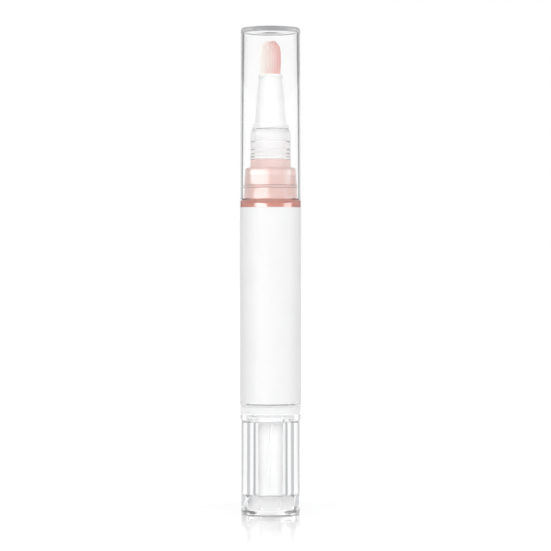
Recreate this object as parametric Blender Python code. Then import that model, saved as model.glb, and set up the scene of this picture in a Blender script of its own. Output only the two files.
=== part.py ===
"""A nail art pen: a clear twist pen with a brush under a clear cap and a thick clear twist knob.

All sizes are in metres. The pen stands on its knob, with its axis on Z and its base at z = 0.
Turning the knob turns the keyed screw rod in a fixed nut, and the rod pushes the piston up the barrel.
"""
import math

import bmesh
import bpy

# Fits and gaps
RUNNING_GAP = 0.00020
PRESS_GAP = 0.00005
SEAT_GAP = 0.00010
TURN_GAP = 0.00015
CUT_OVERRUN = 0.00050
WELD_DISTANCE = 0.0000001

# Barrel: foot, sleeve recess, shoulder, cap seat and neck, from the foot up
BARREL_RADIUS = 0.00795
BARREL_WALL = 0.00135
BARREL_FOOT_LENGTH = 0.00455
BARREL_FOOT_ROUNDING = 0.00045
SHOULDER_LENGTH = 0.00190
SHOULDER_EDGE = 0.00020
SHOULDER_STEP = 0.00089
SHOULDER_WALL = 0.00090
SEAT_LENGTH = 0.00840
SEAT_TAPER = 0.00042
SEAT_WALL = 0.00100
SEAT_ROUNDING = 0.00045
SEAT_ROOF = 0.00190
BEAD_HEIGHT = 0.00022
BEAD_WIDTH = 0.00085
BEAD_RISE = 0.00305
NECK_STEP = 0.00128
NECK_WALL = 0.00116
NECK_LENGTH = 0.01020
NECK_CHAMFER = 0.00060
NECK_CHAMFER_LENGTH = 0.00120

# White sleeve
SLEEVE_LENGTH = 0.05125
SLEEVE_THICKNESS = 0.00020
SLEEVE_PROUD = 0.00005

# Cap
CAP_FIT_GAP = 0.00018
CAP_MOUTH_WALL = 0.00065
CAP_MOUTH_CHAMFER = 0.00020
CAP_OUTER_DRAFT = 0.00020
CAP_BORE_DRAFT = 0.00040
CAP_HEADROOM = 0.00210
CAP_TOP_THICKNESS = 0.00120
CAP_TOP_ROUNDING = 0.00080
CAP_CEILING_ROUNDING = 0.00050
CAP_DIMPLE_RADIUS = 0.00045
CAP_DIMPLE_DEPTH = 0.00035

# Nozzle: spigot in the neck, flange on the neck, cone up to the ferrule
FLANGE_THICKNESS = 0.00115
FLANGE_ROUNDING = 0.00020
CONE_STEP = 0.00063
CONE_LENGTH = 0.01210
CONE_TIP_RADIUS = 0.00310
CONE_BELLY = 0.00008
NOZZLE_TIP_WALL = 0.00025
SPIGOT_LENGTH = 0.00810
SPIGOT_WALL = 0.00080
SPIGOT_RIBS = 4
RIB_HEIGHT = 0.00030
RIB_WIDTH = 0.00075
RIB_ROOT_WIDTH = 0.00115
FEED_LAND_LENGTH = 0.00400
CHANNEL_CONE_LENGTH = 0.00400

# Ferrule and feed tube
FERRULE_LIP_HEIGHT = 0.00090
FERRULE_STEM_LENGTH = 0.00220
FERRULE_WALL = 0.00030
FERRULE_FLOOR = 0.00060
FERRULE_EDGE = 0.00010
FEED_TUBE_RADIUS = 0.00055
FEED_TUBE_WALL = 0.00020
FEED_TUBE_RISE = 0.00330

# Brush
ROOT_PLATE_THICKNESS = 0.00100
ROOT_PLATE_MARGIN = 0.00008
ROOT_PATCH_PROUD = 0.00005
STRAND_PITCH = 0.000222
STRAND_BODY_SHARE = 0.78
STRAND_TIP_SHARE = 0.30
BRUSH_LENGTH = 0.00880
BRUSH_SWELL = 0.00055
DOME_HEIGHT = 0.00360
DOME_LEAN_SHARE = 0.08

# Screw rod
ROD_RADIUS = 0.00210
ROD_HALF_FLAT = 0.00150
ROD_HEAD_LIP = 0.00050
ROD_HEAD_THICKNESS = 0.00120
ROD_ENGAGEMENT = 0.00490
ROD_FOOT_GAP = 0.00030

# Piston
PISTON_LENGTH = 0.00600
PISTON_LIP_LENGTH = 0.00130
PISTON_WAIST_DEPTH = 0.00045
PISTON_COLLAR = 0.00120
PISTON_EDGE = 0.00020
PISTON_UNDERCUT = 0.00120

# Nut housing
RIM_GAP = 0.00045
HOUSING_FLANGE_HEIGHT = 0.00260
HOUSING_DECK = 0.00100
HOUSING_SKIRT_WALL = 0.00095
HOUSING_TUBE_WALL = 0.00100
HOUSING_TUBE_ROOM = 0.00065
HOUSING_FIN_COUNT = 4
HOUSING_FIN_THICKNESS = 0.00090
SNAP_RIB_HEIGHT = 0.00020
SNAP_RIB_WIDTH = 0.00150
SNAP_RIB_RISE = 0.00055
SNAP_RIB_SLOPE = 0.00025
NUT_LENGTH = 0.00400
NUT_GAP = 0.00100
RATCHET_TEETH = 24
RATCHET_DEPTH = 0.00055
RATCHET_SLOPE_SHARE = 0.15

# Drive tube
DRIVE_TUBE_WALL = 0.00095
DRIVE_FOOT_HALF_FLAT = 0.00280
DRIVE_FOOT_LENGTH = 0.00140
BARB_HEIGHT = 0.00040
BARB_LAND = 0.00050
BARB_SLOPE = 0.00110
DRIVE_KEY_HALF_FLAT = 0.00300
DRIVE_KEY_LENGTH = 0.00160

# Click ring
CLICK_RING_HEIGHT = 0.00120
CLICK_HUB_WALL = 0.00060
PAWL_COUNT = 3
PAWL_SWEEP = math.radians(78)
PAWL_THICKNESS = 0.00035
PAWL_STEPS = 7

# Knob
KNOB_LENGTH = 0.02405
KNOB_STEP = 0.00029
KNOB_FOOT_BEVEL = 0.00035
KNOB_TOP_BEVEL = 0.00015
KNOB_AIR_GAP = 0.00068
KNOB_NECK_LENGTH = 0.00150

# Base plug
PLUG_FLANGE_RADIUS = 0.00600
PLUG_FLANGE_THICKNESS = 0.00140
CROWN_SIDES = 8
CROWN_RADIUS = 0.00536
CROWN_LENGTH = 0.00360
CROWN_DOME_HEIGHT = 0.00140
CROWN_DOME_DEPTH = 0.00060
SOCKET_DEPTH = 0.00140

# Facets
SHELL_SIDES = 32
CORE_SIDES = 24
DOME_SIDES = 40
TUBE_SIDES = 12
EDGE_STEPS = 2
ROUND_STEPS = 3
SHARP_ANGLE = math.radians(32)
EMPTY_SIZE = 0.00500

# Radii that follow from the sizes above
BARREL_BORE = BARREL_RADIUS - BARREL_WALL
SEAT_FOOT_RADIUS = BARREL_RADIUS - SHOULDER_STEP
SEAT_TIP_RADIUS = SEAT_FOOT_RADIUS - SEAT_TAPER
SEAT_BORE = SEAT_TIP_RADIUS - SEAT_WALL
NECK_RADIUS = SEAT_TIP_RADIUS - NECK_STEP
NECK_BORE = NECK_RADIUS - NECK_WALL
SLEEVE_RADIUS = BARREL_RADIUS + SLEEVE_PROUD
RECESS_RADIUS = SLEEVE_RADIUS - SLEEVE_THICKNESS - PRESS_GAP
BEAD_RADIUS = SEAT_FOOT_RADIUS - SEAT_TAPER * BEAD_RISE / SEAT_LENGTH + BEAD_HEIGHT
CAP_MOUTH_BORE = BEAD_RADIUS + CAP_FIT_GAP
CAP_MOUTH_RADIUS = CAP_MOUTH_BORE + CAP_MOUTH_WALL
FLANGE_RADIUS = NECK_RADIUS - NECK_CHAMFER
CONE_RADIUS = FLANGE_RADIUS - CONE_STEP
SPIGOT_RADIUS = NECK_BORE - PRESS_GAP
SPIGOT_CORE = SPIGOT_RADIUS - RIB_HEIGHT
SPIGOT_BORE = SPIGOT_CORE - SPIGOT_WALL
NOZZLE_SOCKET = CONE_TIP_RADIUS - NOZZLE_TIP_WALL
FEED_LAND = FEED_TUBE_RADIUS + PRESS_GAP
FERRULE_RADIUS = NOZZLE_SOCKET - PRESS_GAP
FERRULE_BORE = FERRULE_RADIUS - FERRULE_WALL
ROOT_PLATE_RADIUS = FERRULE_BORE - PRESS_GAP
ROD_HEAD_RADIUS = ROD_RADIUS + ROD_HEAD_LIP
PISTON_RADIUS = BARREL_BORE - PRESS_GAP
DRIVE_BORE = ROD_RADIUS + RUNNING_GAP
DRIVE_RADIUS = DRIVE_BORE + DRIVE_TUBE_WALL
DRIVE_GUIDE = DRIVE_RADIUS + RUNNING_GAP
HOUSING_RADIUS = BARREL_BORE - PRESS_GAP
HOUSING_TUBE_BORE = DRIVE_RADIUS + HOUSING_TUBE_ROOM
HOUSING_TUBE_RADIUS = HOUSING_TUBE_BORE + HOUSING_TUBE_WALL
RATCHET_ROOT = HOUSING_RADIUS - HOUSING_SKIRT_WALL
RATCHET_CREST = RATCHET_ROOT - RATCHET_DEPTH
CLICK_HUB_RADIUS = DRIVE_RADIUS + PRESS_GAP + CLICK_HUB_WALL
PAWL_REACH = RATCHET_CREST - RUNNING_GAP
KNOB_RADIUS = BARREL_RADIUS - KNOB_STEP
KNOB_BORE = DRIVE_RADIUS + KNOB_AIR_GAP
KNOB_NECK_RADIUS = BARREL_BORE - RUNNING_GAP

# Levels above the base that follow from the sizes above
SOCKET_FLOOR = PLUG_FLANGE_THICKNESS + CROWN_LENGTH - SOCKET_DEPTH
DRIVE_FOOT = SOCKET_FLOOR + SEAT_GAP
ROD_FOOT = DRIVE_FOOT + ROD_FOOT_GAP
BARREL_FOOT = KNOB_LENGTH + TURN_GAP
RECESS_FOOT = BARREL_FOOT + BARREL_FOOT_LENGTH
RECESS_TOP = RECESS_FOOT + SLEEVE_LENGTH
SHOULDER = RECESS_TOP + SHOULDER_LENGTH
CHAMBER_TOP = SHOULDER - SHOULDER_WALL
SEAT_TOP = SHOULDER + SEAT_LENGTH
NECK_TOP = SEAT_TOP + NECK_LENGTH
KNOB_NECK_TOP = KNOB_LENGTH + KNOB_NECK_LENGTH
HOUSING_RIM = KNOB_NECK_TOP + RIM_GAP
HOUSING_TOP = HOUSING_RIM + HOUSING_FLANGE_HEIGHT
FLANGE_FOOT = NECK_TOP + PRESS_GAP
CONE_TOP = FLANGE_FOOT + FLANGE_THICKNESS + CONE_LENGTH
FERRULE_LIP = CONE_TOP + PRESS_GAP
FERRULE_FOOT = FERRULE_LIP - FERRULE_STEM_LENGTH
FERRULE_TOP = FERRULE_LIP + FERRULE_LIP_HEIGHT
ROOT_PLATE_FOOT = FERRULE_FOOT + FERRULE_FLOOR + PRESS_GAP
BRUSH_TIP = FERRULE_TOP + BRUSH_LENGTH
SOCKET_LEVEL = FERRULE_FOOT - PRESS_GAP
FEED_TUBE_FOOT = SOCKET_LEVEL - FEED_LAND_LENGTH
FEED_TUBE_TOP = FERRULE_TOP + FEED_TUBE_RISE
CAP_MOUTH = SHOULDER + SEAT_GAP
CAP_CEILING = BRUSH_TIP + CAP_HEADROOM
CAP_TOP = CAP_CEILING + CAP_TOP_THICKNESS

# The feed is what the chamber has left once the rod, nut and piston are stacked below it
PISTON_TRAVEL_TOP = CHAMBER_TOP - SEAT_GAP
STACK_LENGTH = ROD_ENGAGEMENT + NUT_GAP + NUT_LENGTH + NUT_GAP + PISTON_LENGTH
FEED = (PISTON_TRAVEL_TOP - ROD_FOOT - STACK_LENGTH) / 2
DRIVE_TOP = ROD_FOOT + FEED + ROD_ENGAGEMENT
NUT_FOOT = DRIVE_TOP + NUT_GAP
NUT_TOP = NUT_FOOT + NUT_LENGTH
PISTON_FOOT = NUT_TOP + NUT_GAP
PISTON_TOP = PISTON_FOOT + PISTON_LENGTH
ROD_HEAD_FOOT = PISTON_FOOT + PISTON_COLLAR + RUNNING_GAP
ROD_TOP = ROD_HEAD_FOOT + ROD_HEAD_THICKNESS


def clear_scene():
    for thing in list(bpy.data.objects):
        bpy.data.objects.remove(thing, do_unlink=True)


def linear(hex_colour):
    """Linear colour of a six-digit sRGB hex value."""
    channels = [int(hex_colour[i:i + 2], 16) / 255 for i in (0, 2, 4)]
    return [c / 12.92 if c <= 0.04045 else ((c + 0.055) / 1.055) ** 2.4 for c in channels] + [1.0]


def material(name, hex_colour, roughness, clear=0.0, metallic=0.0):
    finish = bpy.data.materials.new(name)
    finish.use_nodes = True
    shader = finish.node_tree.nodes["Principled BSDF"]
    shader.inputs["Base Color"].default_value = linear(hex_colour)
    shader.inputs["Roughness"].default_value = roughness
    shader.inputs["Transmission Weight"].default_value = clear
    shader.inputs["Metallic"].default_value = metallic
    return finish


def add_piece(name, bm, finish, frame, foot):
    """A named piece whose own z = 0 stands at the height foot, on the axis of its frame."""
    bmesh.ops.recalc_face_normals(bm, faces=bm.faces)
    mesh = bpy.data.meshes.new(name)
    bm.to_mesh(mesh)
    bm.free()
    mesh.shade_smooth()
    mesh.set_sharp_from_angle(angle=SHARP_ANGLE)
    mesh.materials.append(finish)
    piece = bpy.data.objects.new(name, mesh)
    bpy.context.collection.objects.link(piece)
    piece.parent = frame
    piece.location.z = foot - frame["height"]
    return piece


def add_frame(name, height, carrier=None):
    """An empty on the pen's axis that carries the pieces of one moving body."""
    frame = bpy.data.objects.new(name, None)
    frame.empty_display_size = EMPTY_SIZE
    frame["height"] = height
    bpy.context.collection.objects.link(frame)
    frame.parent = carrier
    frame.location.z = height - (carrier["height"] if carrier else 0)
    return frame


def boolean(piece, tool, operation):
    """Cut or join a piece with another mesh, which is kept as a hidden tool."""
    tool.hide_render = True
    tool.display_type = "WIRE"
    change = piece.modifiers.new(tool.name, "BOOLEAN")
    change.operation = operation
    change.solver = "EXACT"
    change.object = tool


def arc(centre, radii, start, end, steps):
    """Points of an elliptic arc in the profile plane, from one angle in degrees to another."""
    angles = [math.radians(start + (end - start) * i / steps) for i in range(steps + 1)]
    return [(centre[0] + radii[0] * math.cos(a), centre[1] + radii[1] * math.sin(a)) for a in angles]


def turned(outline, sides):
    """A solid of revolution about Z from (radius, height) points.

    An outline that starts and ends on the axis is left open there, and any other one is closed.
    """
    bm = bmesh.new()
    ring = [bm.verts.new((radius, 0, height)) for radius, height in outline]
    pairs = list(zip(ring, ring[1:]))
    if outline[0][0] > 0:
        pairs.append((ring[-1], ring[0]))
    edges = [bm.edges.new(pair) for pair in pairs]
    bmesh.ops.spin(
        bm,
        geom=ring + edges,
        cent=(0, 0, 0),
        axis=(0, 0, 1),
        angle=math.tau,
        steps=sides,
        use_merge=True,
    )
    bmesh.ops.remove_doubles(bm, verts=bm.verts, dist=WELD_DISTANCE)
    return bm


def add_prism(bm, outline, bottom, top):
    """Extrude a flat outline of (x, y) points from one height to another."""
    corners = [bm.verts.new((x, y, bottom)) for x, y in outline]
    base = bm.faces.new(corners)
    grown = bmesh.ops.extrude_face_region(bm, geom=[base], use_keep_orig=True)
    lifted = [v for v in grown["geom"] if isinstance(v, bmesh.types.BMVert)]
    bmesh.ops.translate(bm, verts=lifted, vec=(0, 0, top - bottom))


def prism(outline, bottom, top):
    bm = bmesh.new()
    add_prism(bm, outline, bottom, top)
    return bm


def polar(radius, angle):
    return (radius * math.cos(angle), radius * math.sin(angle))


def double_d(radius, half_flat, sides):
    """A circle with two flats, at y = half_flat and y = -half_flat."""
    corner = math.asin(half_flat / radius)
    steps = max(2, round(sides * corner / math.pi))
    cheek = [corner * (2 * i / steps - 1) for i in range(steps + 1)]
    return [polar(radius, a) for a in cheek] + [polar(radius, a + math.pi) for a in cheek]


def regular(radius, sides):
    """A regular polygon with the middle of one side facing -Y."""
    half = math.pi / sides
    return [polar(radius, half * (2 * i + 1) - math.pi / 2) for i in range(sides)]


def ring_box(outer, inner, bottom, top):
    """Outline of a plain ring."""
    return [(inner, bottom), (outer, bottom), (outer, top), (inner, top)]


# Barrel
def barrel_outline():
    """The outer side going up from the foot, then the bore coming down."""
    foot = 0
    recess_foot = RECESS_FOOT - BARREL_FOOT
    recess_top = RECESS_TOP - BARREL_FOOT
    shoulder = SHOULDER - BARREL_FOOT
    chamber_top = CHAMBER_TOP - BARREL_FOOT
    seat_top = SEAT_TOP - BARREL_FOOT
    neck_top = NECK_TOP - BARREL_FOOT
    groove_foot = HOUSING_RIM + SNAP_RIB_RISE - SEAT_GAP - BARREL_FOOT
    groove_top = groove_foot + SNAP_RIB_WIDTH + 2 * SEAT_GAP
    groove_radius = HOUSING_RADIUS + SNAP_RIB_HEIGHT + PRESS_GAP
    rounding = BARREL_FOOT_ROUNDING
    bead_foot = shoulder + BEAD_RISE
    bead_root = BEAD_RADIUS - BEAD_HEIGHT

    outline = [(BARREL_BORE, foot)]
    outline += arc((BARREL_RADIUS - rounding, foot + rounding), (rounding, rounding), -90, 0, ROUND_STEPS)
    outline += [(BARREL_RADIUS, recess_foot), (RECESS_RADIUS, recess_foot)]
    outline += [(RECESS_RADIUS, recess_top), (BARREL_RADIUS, recess_top)]
    outline += arc((BARREL_RADIUS - SHOULDER_EDGE, shoulder - SHOULDER_EDGE),
                   (SHOULDER_EDGE, SHOULDER_EDGE), 0, 90, EDGE_STEPS)
    outline += [(SEAT_FOOT_RADIUS, shoulder), (bead_root, bead_foot)]
    outline += [(BEAD_RADIUS, bead_foot + BEAD_HEIGHT)]
    outline += [(BEAD_RADIUS, bead_foot + BEAD_WIDTH - BEAD_HEIGHT)]
    outline += [(bead_root, bead_foot + BEAD_WIDTH)]
    outline += arc((SEAT_TIP_RADIUS - SEAT_ROUNDING, seat_top - SEAT_ROUNDING),
                   (SEAT_ROUNDING, SEAT_ROUNDING), 0, 90, ROUND_STEPS)
    outline += [(NECK_RADIUS, seat_top), (NECK_RADIUS, neck_top - NECK_CHAMFER_LENGTH)]
    outline += [(NECK_RADIUS - NECK_CHAMFER, neck_top), (NECK_BORE, neck_top)]
    outline += [(NECK_BORE, seat_top - SEAT_ROOF + SEAT_BORE - NECK_BORE)]
    outline += [(SEAT_BORE, seat_top - SEAT_ROOF)]
    outline += [(SEAT_BORE, chamber_top + BARREL_BORE - SEAT_BORE), (BARREL_BORE, chamber_top)]
    outline += [(BARREL_BORE, groove_top), (groove_radius, groove_top - SNAP_RIB_SLOPE)]
    outline += [(groove_radius, groove_foot + SNAP_RIB_SLOPE), (BARREL_BORE, groove_foot)]
    return outline


def make_barrel(frame):
    finish = material("clear_barrel_plastic", "F7F9FA", 0.05, clear=1.0)
    return add_piece("barrel", turned(barrel_outline(), SHELL_SIDES), finish, frame, BARREL_FOOT)


def make_sleeve(frame):
    finish = material("white_sleeve_film", "F4F4F4", 0.35)
    inner = SLEEVE_RADIUS - SLEEVE_THICKNESS
    outline = ring_box(SLEEVE_RADIUS, inner, PRESS_GAP, SLEEVE_LENGTH - PRESS_GAP)
    return add_piece("white_sleeve", turned(outline, SHELL_SIDES), finish, frame, RECESS_FOOT)


# Cap
def cap_outline():
    """The outer side going up from the mouth, over the top, and down the bore."""
    ceiling = CAP_CEILING - CAP_MOUTH
    top = CAP_TOP - CAP_MOUTH
    top_radius = CAP_MOUTH_RADIUS - CAP_OUTER_DRAFT
    top_bore = CAP_MOUTH_BORE - CAP_BORE_DRAFT
    outline = [(0, top)]
    outline += arc((top_radius - CAP_TOP_ROUNDING, top - CAP_TOP_ROUNDING),
                   (CAP_TOP_ROUNDING, CAP_TOP_ROUNDING), 90, 0, ROUND_STEPS + 1)
    outline += [(CAP_MOUTH_RADIUS, CAP_MOUTH_CHAMFER), (CAP_MOUTH_RADIUS - CAP_MOUTH_CHAMFER, 0)]
    outline += [(CAP_MOUTH_BORE + CAP_MOUTH_CHAMFER, 0), (CAP_MOUTH_BORE, CAP_MOUTH_CHAMFER)]
    outline += arc((top_bore - CAP_CEILING_ROUNDING, ceiling - CAP_CEILING_ROUNDING),
                   (CAP_CEILING_ROUNDING, CAP_CEILING_ROUNDING), 0, 90, ROUND_STEPS)
    outline += [(CAP_DIMPLE_RADIUS, ceiling), (0, ceiling + CAP_DIMPLE_DEPTH)]
    return outline


def make_cap(frame):
    finish = material("clear_cap_plastic", "F7F9FA", 0.04, clear=1.0)
    return add_piece("cap", turned(cap_outline(), SHELL_SIDES), finish, frame, CAP_MOUTH)


# Nozzle, ferrule, feed tube and brush
def spigot_ribs():
    """The spigot's outer side with its ribs, going up from its end to the flange."""
    pitch = SPIGOT_LENGTH / SPIGOT_RIBS
    points = []
    for i in range(SPIGOT_RIBS):
        middle = -SPIGOT_LENGTH + pitch * (i + 1 / 2)
        points += [(SPIGOT_CORE, middle - RIB_ROOT_WIDTH / 2), (SPIGOT_RADIUS, middle - RIB_WIDTH / 2)]
        points += [(SPIGOT_RADIUS, middle + RIB_WIDTH / 2), (SPIGOT_CORE, middle + RIB_ROOT_WIDTH / 2)]
    return points


def nozzle_outline():
    """The spigot and cone going up, then the ferrule's socket, the feed land and the channel."""
    cone_foot = FLANGE_THICKNESS
    cone_top = CONE_TOP - FLANGE_FOOT
    cone_middle = (cone_foot + cone_top) / 2
    belly = (CONE_RADIUS + CONE_TIP_RADIUS) / 2 + CONE_BELLY
    socket = SOCKET_LEVEL - FLANGE_FOOT
    land = FEED_TUBE_FOOT - FLANGE_FOOT
    rounding = FLANGE_ROUNDING
    outline = [(SPIGOT_BORE, -SPIGOT_LENGTH), (SPIGOT_CORE, -SPIGOT_LENGTH)]
    outline += spigot_ribs()
    outline += [(SPIGOT_CORE, 0), (FLANGE_RADIUS, 0)]
    outline += arc((FLANGE_RADIUS - rounding, cone_foot - rounding), (rounding, rounding), 0, 90, EDGE_STEPS)
    outline += [(CONE_RADIUS, cone_foot), (belly, cone_middle), (CONE_TIP_RADIUS, cone_top)]
    outline += [(NOZZLE_SOCKET, cone_top), (NOZZLE_SOCKET, socket), (FEED_LAND, socket)]
    outline += [(FEED_LAND, land), (SPIGOT_BORE, land - CHANNEL_CONE_LENGTH)]
    return outline


def make_nozzle(frame):
    finish = material("white_nozzle_plastic", "F3F3F3", 0.35)
    return add_piece("nozzle", turned(nozzle_outline(), CORE_SIDES), finish, frame, FLANGE_FOOT)


def make_ferrule(frame):
    """A cup with a lip that rests on the cone and a floor that the feed tube passes."""
    finish = material("white_ferrule_plastic", "F8F8F8", 0.25)
    stem = FERRULE_STEM_LENGTH
    outline = [(FEED_LAND, -stem), (FERRULE_RADIUS, -stem), (FERRULE_RADIUS, 0)]
    outline += [(CONE_TIP_RADIUS, 0), (CONE_TIP_RADIUS, FERRULE_LIP_HEIGHT - FERRULE_EDGE)]
    outline += [(CONE_TIP_RADIUS - FERRULE_EDGE, FERRULE_LIP_HEIGHT), (FERRULE_BORE, FERRULE_LIP_HEIGHT)]
    outline += [(FERRULE_BORE, FERRULE_FLOOR - stem), (FEED_LAND, FERRULE_FLOOR - stem)]
    return add_piece("brush_ferrule", turned(outline, CORE_SIDES), finish, frame, FERRULE_LIP)


def make_feed_tube(frame):
    finish = material("steel_feed_tube", "C9CBCD", 0.25, metallic=1.0)
    bore = FEED_TUBE_RADIUS - FEED_TUBE_WALL
    outline = ring_box(FEED_TUBE_RADIUS, bore, 0, FEED_TUBE_TOP - FEED_TUBE_FOOT)
    return add_piece("feed_tube", turned(outline, TUBE_SIDES), finish, frame, FEED_TUBE_FOOT)


def lattice_triangles(pitch, inner, outer):
    """Triangles of a lattice that lie between two radii: those that point up, then the others."""
    row_height = pitch * math.sqrt(3) / 2
    rows = math.ceil(outer / row_height)
    columns = math.ceil(2 * outer / pitch)

    def point(i, j):
        return (pitch * (i + j / 2), row_height * j)

    upward, downward = [], []
    for j in range(-rows, rows + 1):
        for i in range(-columns, columns + 1):
            up = (point(i, j), point(i + 1, j), point(i, j + 1))
            down = (point(i + 1, j), point(i + 1, j + 1), point(i, j + 1))
            for triangle, kept in ((up, upward), (down, downward)):
                reach = [math.hypot(x, y) for x, y in triangle]
                if inner <= min(reach) and max(reach) <= outer:
                    kept.append(triangle)
    return upward, downward


def grow_strands(bm, roots, level, spread, taper):
    """Extrude each root on its own, set its new end and return the ends.

    level gives an end's height from its middle, spread moves it out from the axis and taper thins it.
    """
    ends = bmesh.ops.extrude_discrete_faces(bm, faces=roots)["faces"]
    for end in ends:
        middle = end.calc_center_median()
        height = level(middle)
        for corner in end.verts:
            corner.co.x = middle.x * spread + (corner.co.x - middle.x) * taper
            corner.co.y = middle.y * spread + (corner.co.y - middle.y) * taper
            corner.co.z = height
    return ends


def make_brush(frame):
    """Strands that stand on a lattice patch, joined to the round root plate under it."""
    finish = material("pink_nylon_bristle", "F2C9C3", 0.45)
    patch_radius = ROOT_PLATE_RADIUS - ROOT_PLATE_MARGIN
    plate_bore = FEED_TUBE_RADIUS + PRESS_GAP
    patch_bore = plate_bore + ROOT_PLATE_MARGIN
    lip = FERRULE_TOP - ROOT_PLATE_FOOT
    tip = BRUSH_TIP - ROOT_PLATE_FOOT
    swell = (patch_radius + BRUSH_SWELL) / patch_radius

    bm = bmesh.new()
    corners = {}
    roots = []
    upward, downward = lattice_triangles(STRAND_PITCH, patch_bore, patch_radius)
    for triangle in upward + downward:
        loop = []
        for x, y in triangle:
            key = (round(x / WELD_DISTANCE), round(y / WELD_DISTANCE))
            if key not in corners:
                corners[key] = bm.verts.new((x, y, ROOT_PLATE_THICKNESS - ROOT_PATCH_PROUD))
            loop.append(corners[key])
        roots.append(bm.faces.new(loop))
    grown = bmesh.ops.extrude_face_region(bm, geom=roots, use_keep_orig=True)
    lifted = [v for v in grown["geom"] if isinstance(v, bmesh.types.BMVert)]
    bmesh.ops.translate(bm, verts=lifted, vec=(0, 0, 2 * ROOT_PATCH_PROUD))
    faces = [f for f in grown["geom"] if isinstance(f, bmesh.types.BMFace)]
    bmesh.ops.recalc_face_normals(bm, faces=bm.faces)

    def points_up(face):
        middle = face.calc_center_median()
        return sum(corner.co.y > middle.y for corner in face.verts) == 1

    def dome(middle):
        share = min(1, math.hypot(middle.x, middle.y) / patch_radius)
        lean = DOME_LEAN_SHARE * middle.x / patch_radius
        return tip - DOME_HEIGHT * (1 - math.sqrt(1 - share ** 2) * (1 - abs(lean)) - lean)

    strands = [face for face in faces if points_up(face)]
    print("brush strands:", len(strands))
    ends = grow_strands(bm, strands, lambda middle: lip, 1, STRAND_BODY_SHARE)
    grow_strands(bm, ends, dome, swell, STRAND_TIP_SHARE)
    brush = add_piece("brush_tuft", bm, finish, frame, ROOT_PLATE_FOOT)
    plate_outline = ring_box(ROOT_PLATE_RADIUS, plate_bore, 0, ROOT_PLATE_THICKNESS)
    plate = add_piece("brush_root_plate", turned(plate_outline, CORE_SIDES), finish, frame, ROOT_PLATE_FOOT)
    boolean(brush, plate, "UNION")
    return brush


# Gel
def make_gel_neck(frame):
    """The fill above the chamber: through the cap seat and neck into the nozzle's channel."""
    finish = material("pale_pink_gel", "F6C4BC", 0.1, clear=0.8)
    seat_bore = SEAT_BORE - PRESS_GAP
    neck_bore = NECK_BORE - PRESS_GAP
    channel = SPIGOT_BORE - PRESS_GAP
    cone_foot = SEAT_TOP - SEAT_ROOF - PRESS_GAP
    spigot_end = FLANGE_FOOT - SPIGOT_LENGTH - SEAT_GAP
    channel_top = FEED_TUBE_FOOT - CHANNEL_CONE_LENGTH - PRESS_GAP
    feed_top = FEED_TUBE_FOOT - SEAT_GAP
    levels = [(0, CHAMBER_TOP), (BARREL_BORE - PRESS_GAP, CHAMBER_TOP)]
    levels += [(seat_bore, CHAMBER_TOP + BARREL_BORE - SEAT_BORE), (seat_bore, cone_foot)]
    levels += [(neck_bore, cone_foot + seat_bore - neck_bore), (neck_bore, spigot_end)]
    levels += [(channel, spigot_end), (channel, channel_top), (FEED_TUBE_RADIUS, feed_top), (0, feed_top)]
    outline = [(radius, level - CHAMBER_TOP) for radius, level in levels]
    return add_piece("gel_neck", turned(outline, CORE_SIDES), finish, frame, CHAMBER_TOP)


def make_gel_chamber(frame):
    """The fill between the piston and the shoulder, which the feed presses flat."""
    finish = material("rose_pink_gel", "D8695F", 0.1, clear=0.8)
    radius = BARREL_BORE - PRESS_GAP
    foot = PISTON_TOP + PRESS_GAP
    height = PISTON_TRAVEL_TOP - foot
    outline = [(0, 0), (radius, 0), (radius, height), (0, height)]
    return add_piece("gel_chamber", turned(outline, SHELL_SIDES), finish, frame, foot)


# Feed mechanism
def make_nut_housing(frame):
    """A skirt with ratchet teeth, a deck that holds the drive tube's barb, and a tube up to the nut."""
    finish = material("white_housing_plastic", "EDEDED", 0.4)
    flange = HOUSING_FLANGE_HEIGHT
    deck = flange - HOUSING_DECK
    nut_foot = NUT_FOOT - HOUSING_RIM
    nut_top = NUT_TOP - HOUSING_RIM
    nut_bore = ROD_RADIUS + RUNNING_GAP
    rib_radius = HOUSING_RADIUS + SNAP_RIB_HEIGHT
    rib_top = SNAP_RIB_RISE + SNAP_RIB_WIDTH
    outline = [(DRIVE_GUIDE, 0), (HOUSING_RADIUS, 0), (HOUSING_RADIUS, SNAP_RIB_RISE)]
    outline += [(rib_radius, SNAP_RIB_RISE + SNAP_RIB_SLOPE), (rib_radius, rib_top - SNAP_RIB_SLOPE)]
    outline += [(HOUSING_RADIUS, rib_top), (HOUSING_RADIUS, flange), (HOUSING_TUBE_RADIUS, flange)]
    outline += [(HOUSING_TUBE_RADIUS, nut_top), (nut_bore, nut_top), (nut_bore, nut_foot)]
    outline += [(HOUSING_TUBE_BORE, nut_foot), (HOUSING_TUBE_BORE, flange), (DRIVE_GUIDE, flange)]
    housing = add_piece("nut_housing", turned(outline, SHELL_SIDES), finish, frame, HOUSING_RIM)

    gaps = prism(ratchet_outline(), -CUT_OVERRUN, deck)
    boolean(housing, add_piece("ratchet_gaps", gaps, finish, frame, HOUSING_RIM), "DIFFERENCE")

    fins = bmesh.new()
    fin_root = HOUSING_TUBE_RADIUS - HOUSING_TUBE_WALL / 2
    fin_tip = HOUSING_RADIUS - PRESS_GAP
    half = HOUSING_FIN_THICKNESS / 2
    for i in range(HOUSING_FIN_COUNT):
        turn = math.tau * (i + 1 / 2) / HOUSING_FIN_COUNT
        corners = [(fin_root, -half), (fin_tip, -half), (fin_tip, half), (fin_root, half)]
        outline = [(x * math.cos(turn) - y * math.sin(turn), x * math.sin(turn) + y * math.cos(turn))
                   for x, y in corners]
        add_prism(fins, outline, flange - HOUSING_DECK / 2, nut_foot)
    boolean(housing, add_piece("housing_fins", fins, finish, frame, HOUSING_RIM), "UNION")
    return housing


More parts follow.
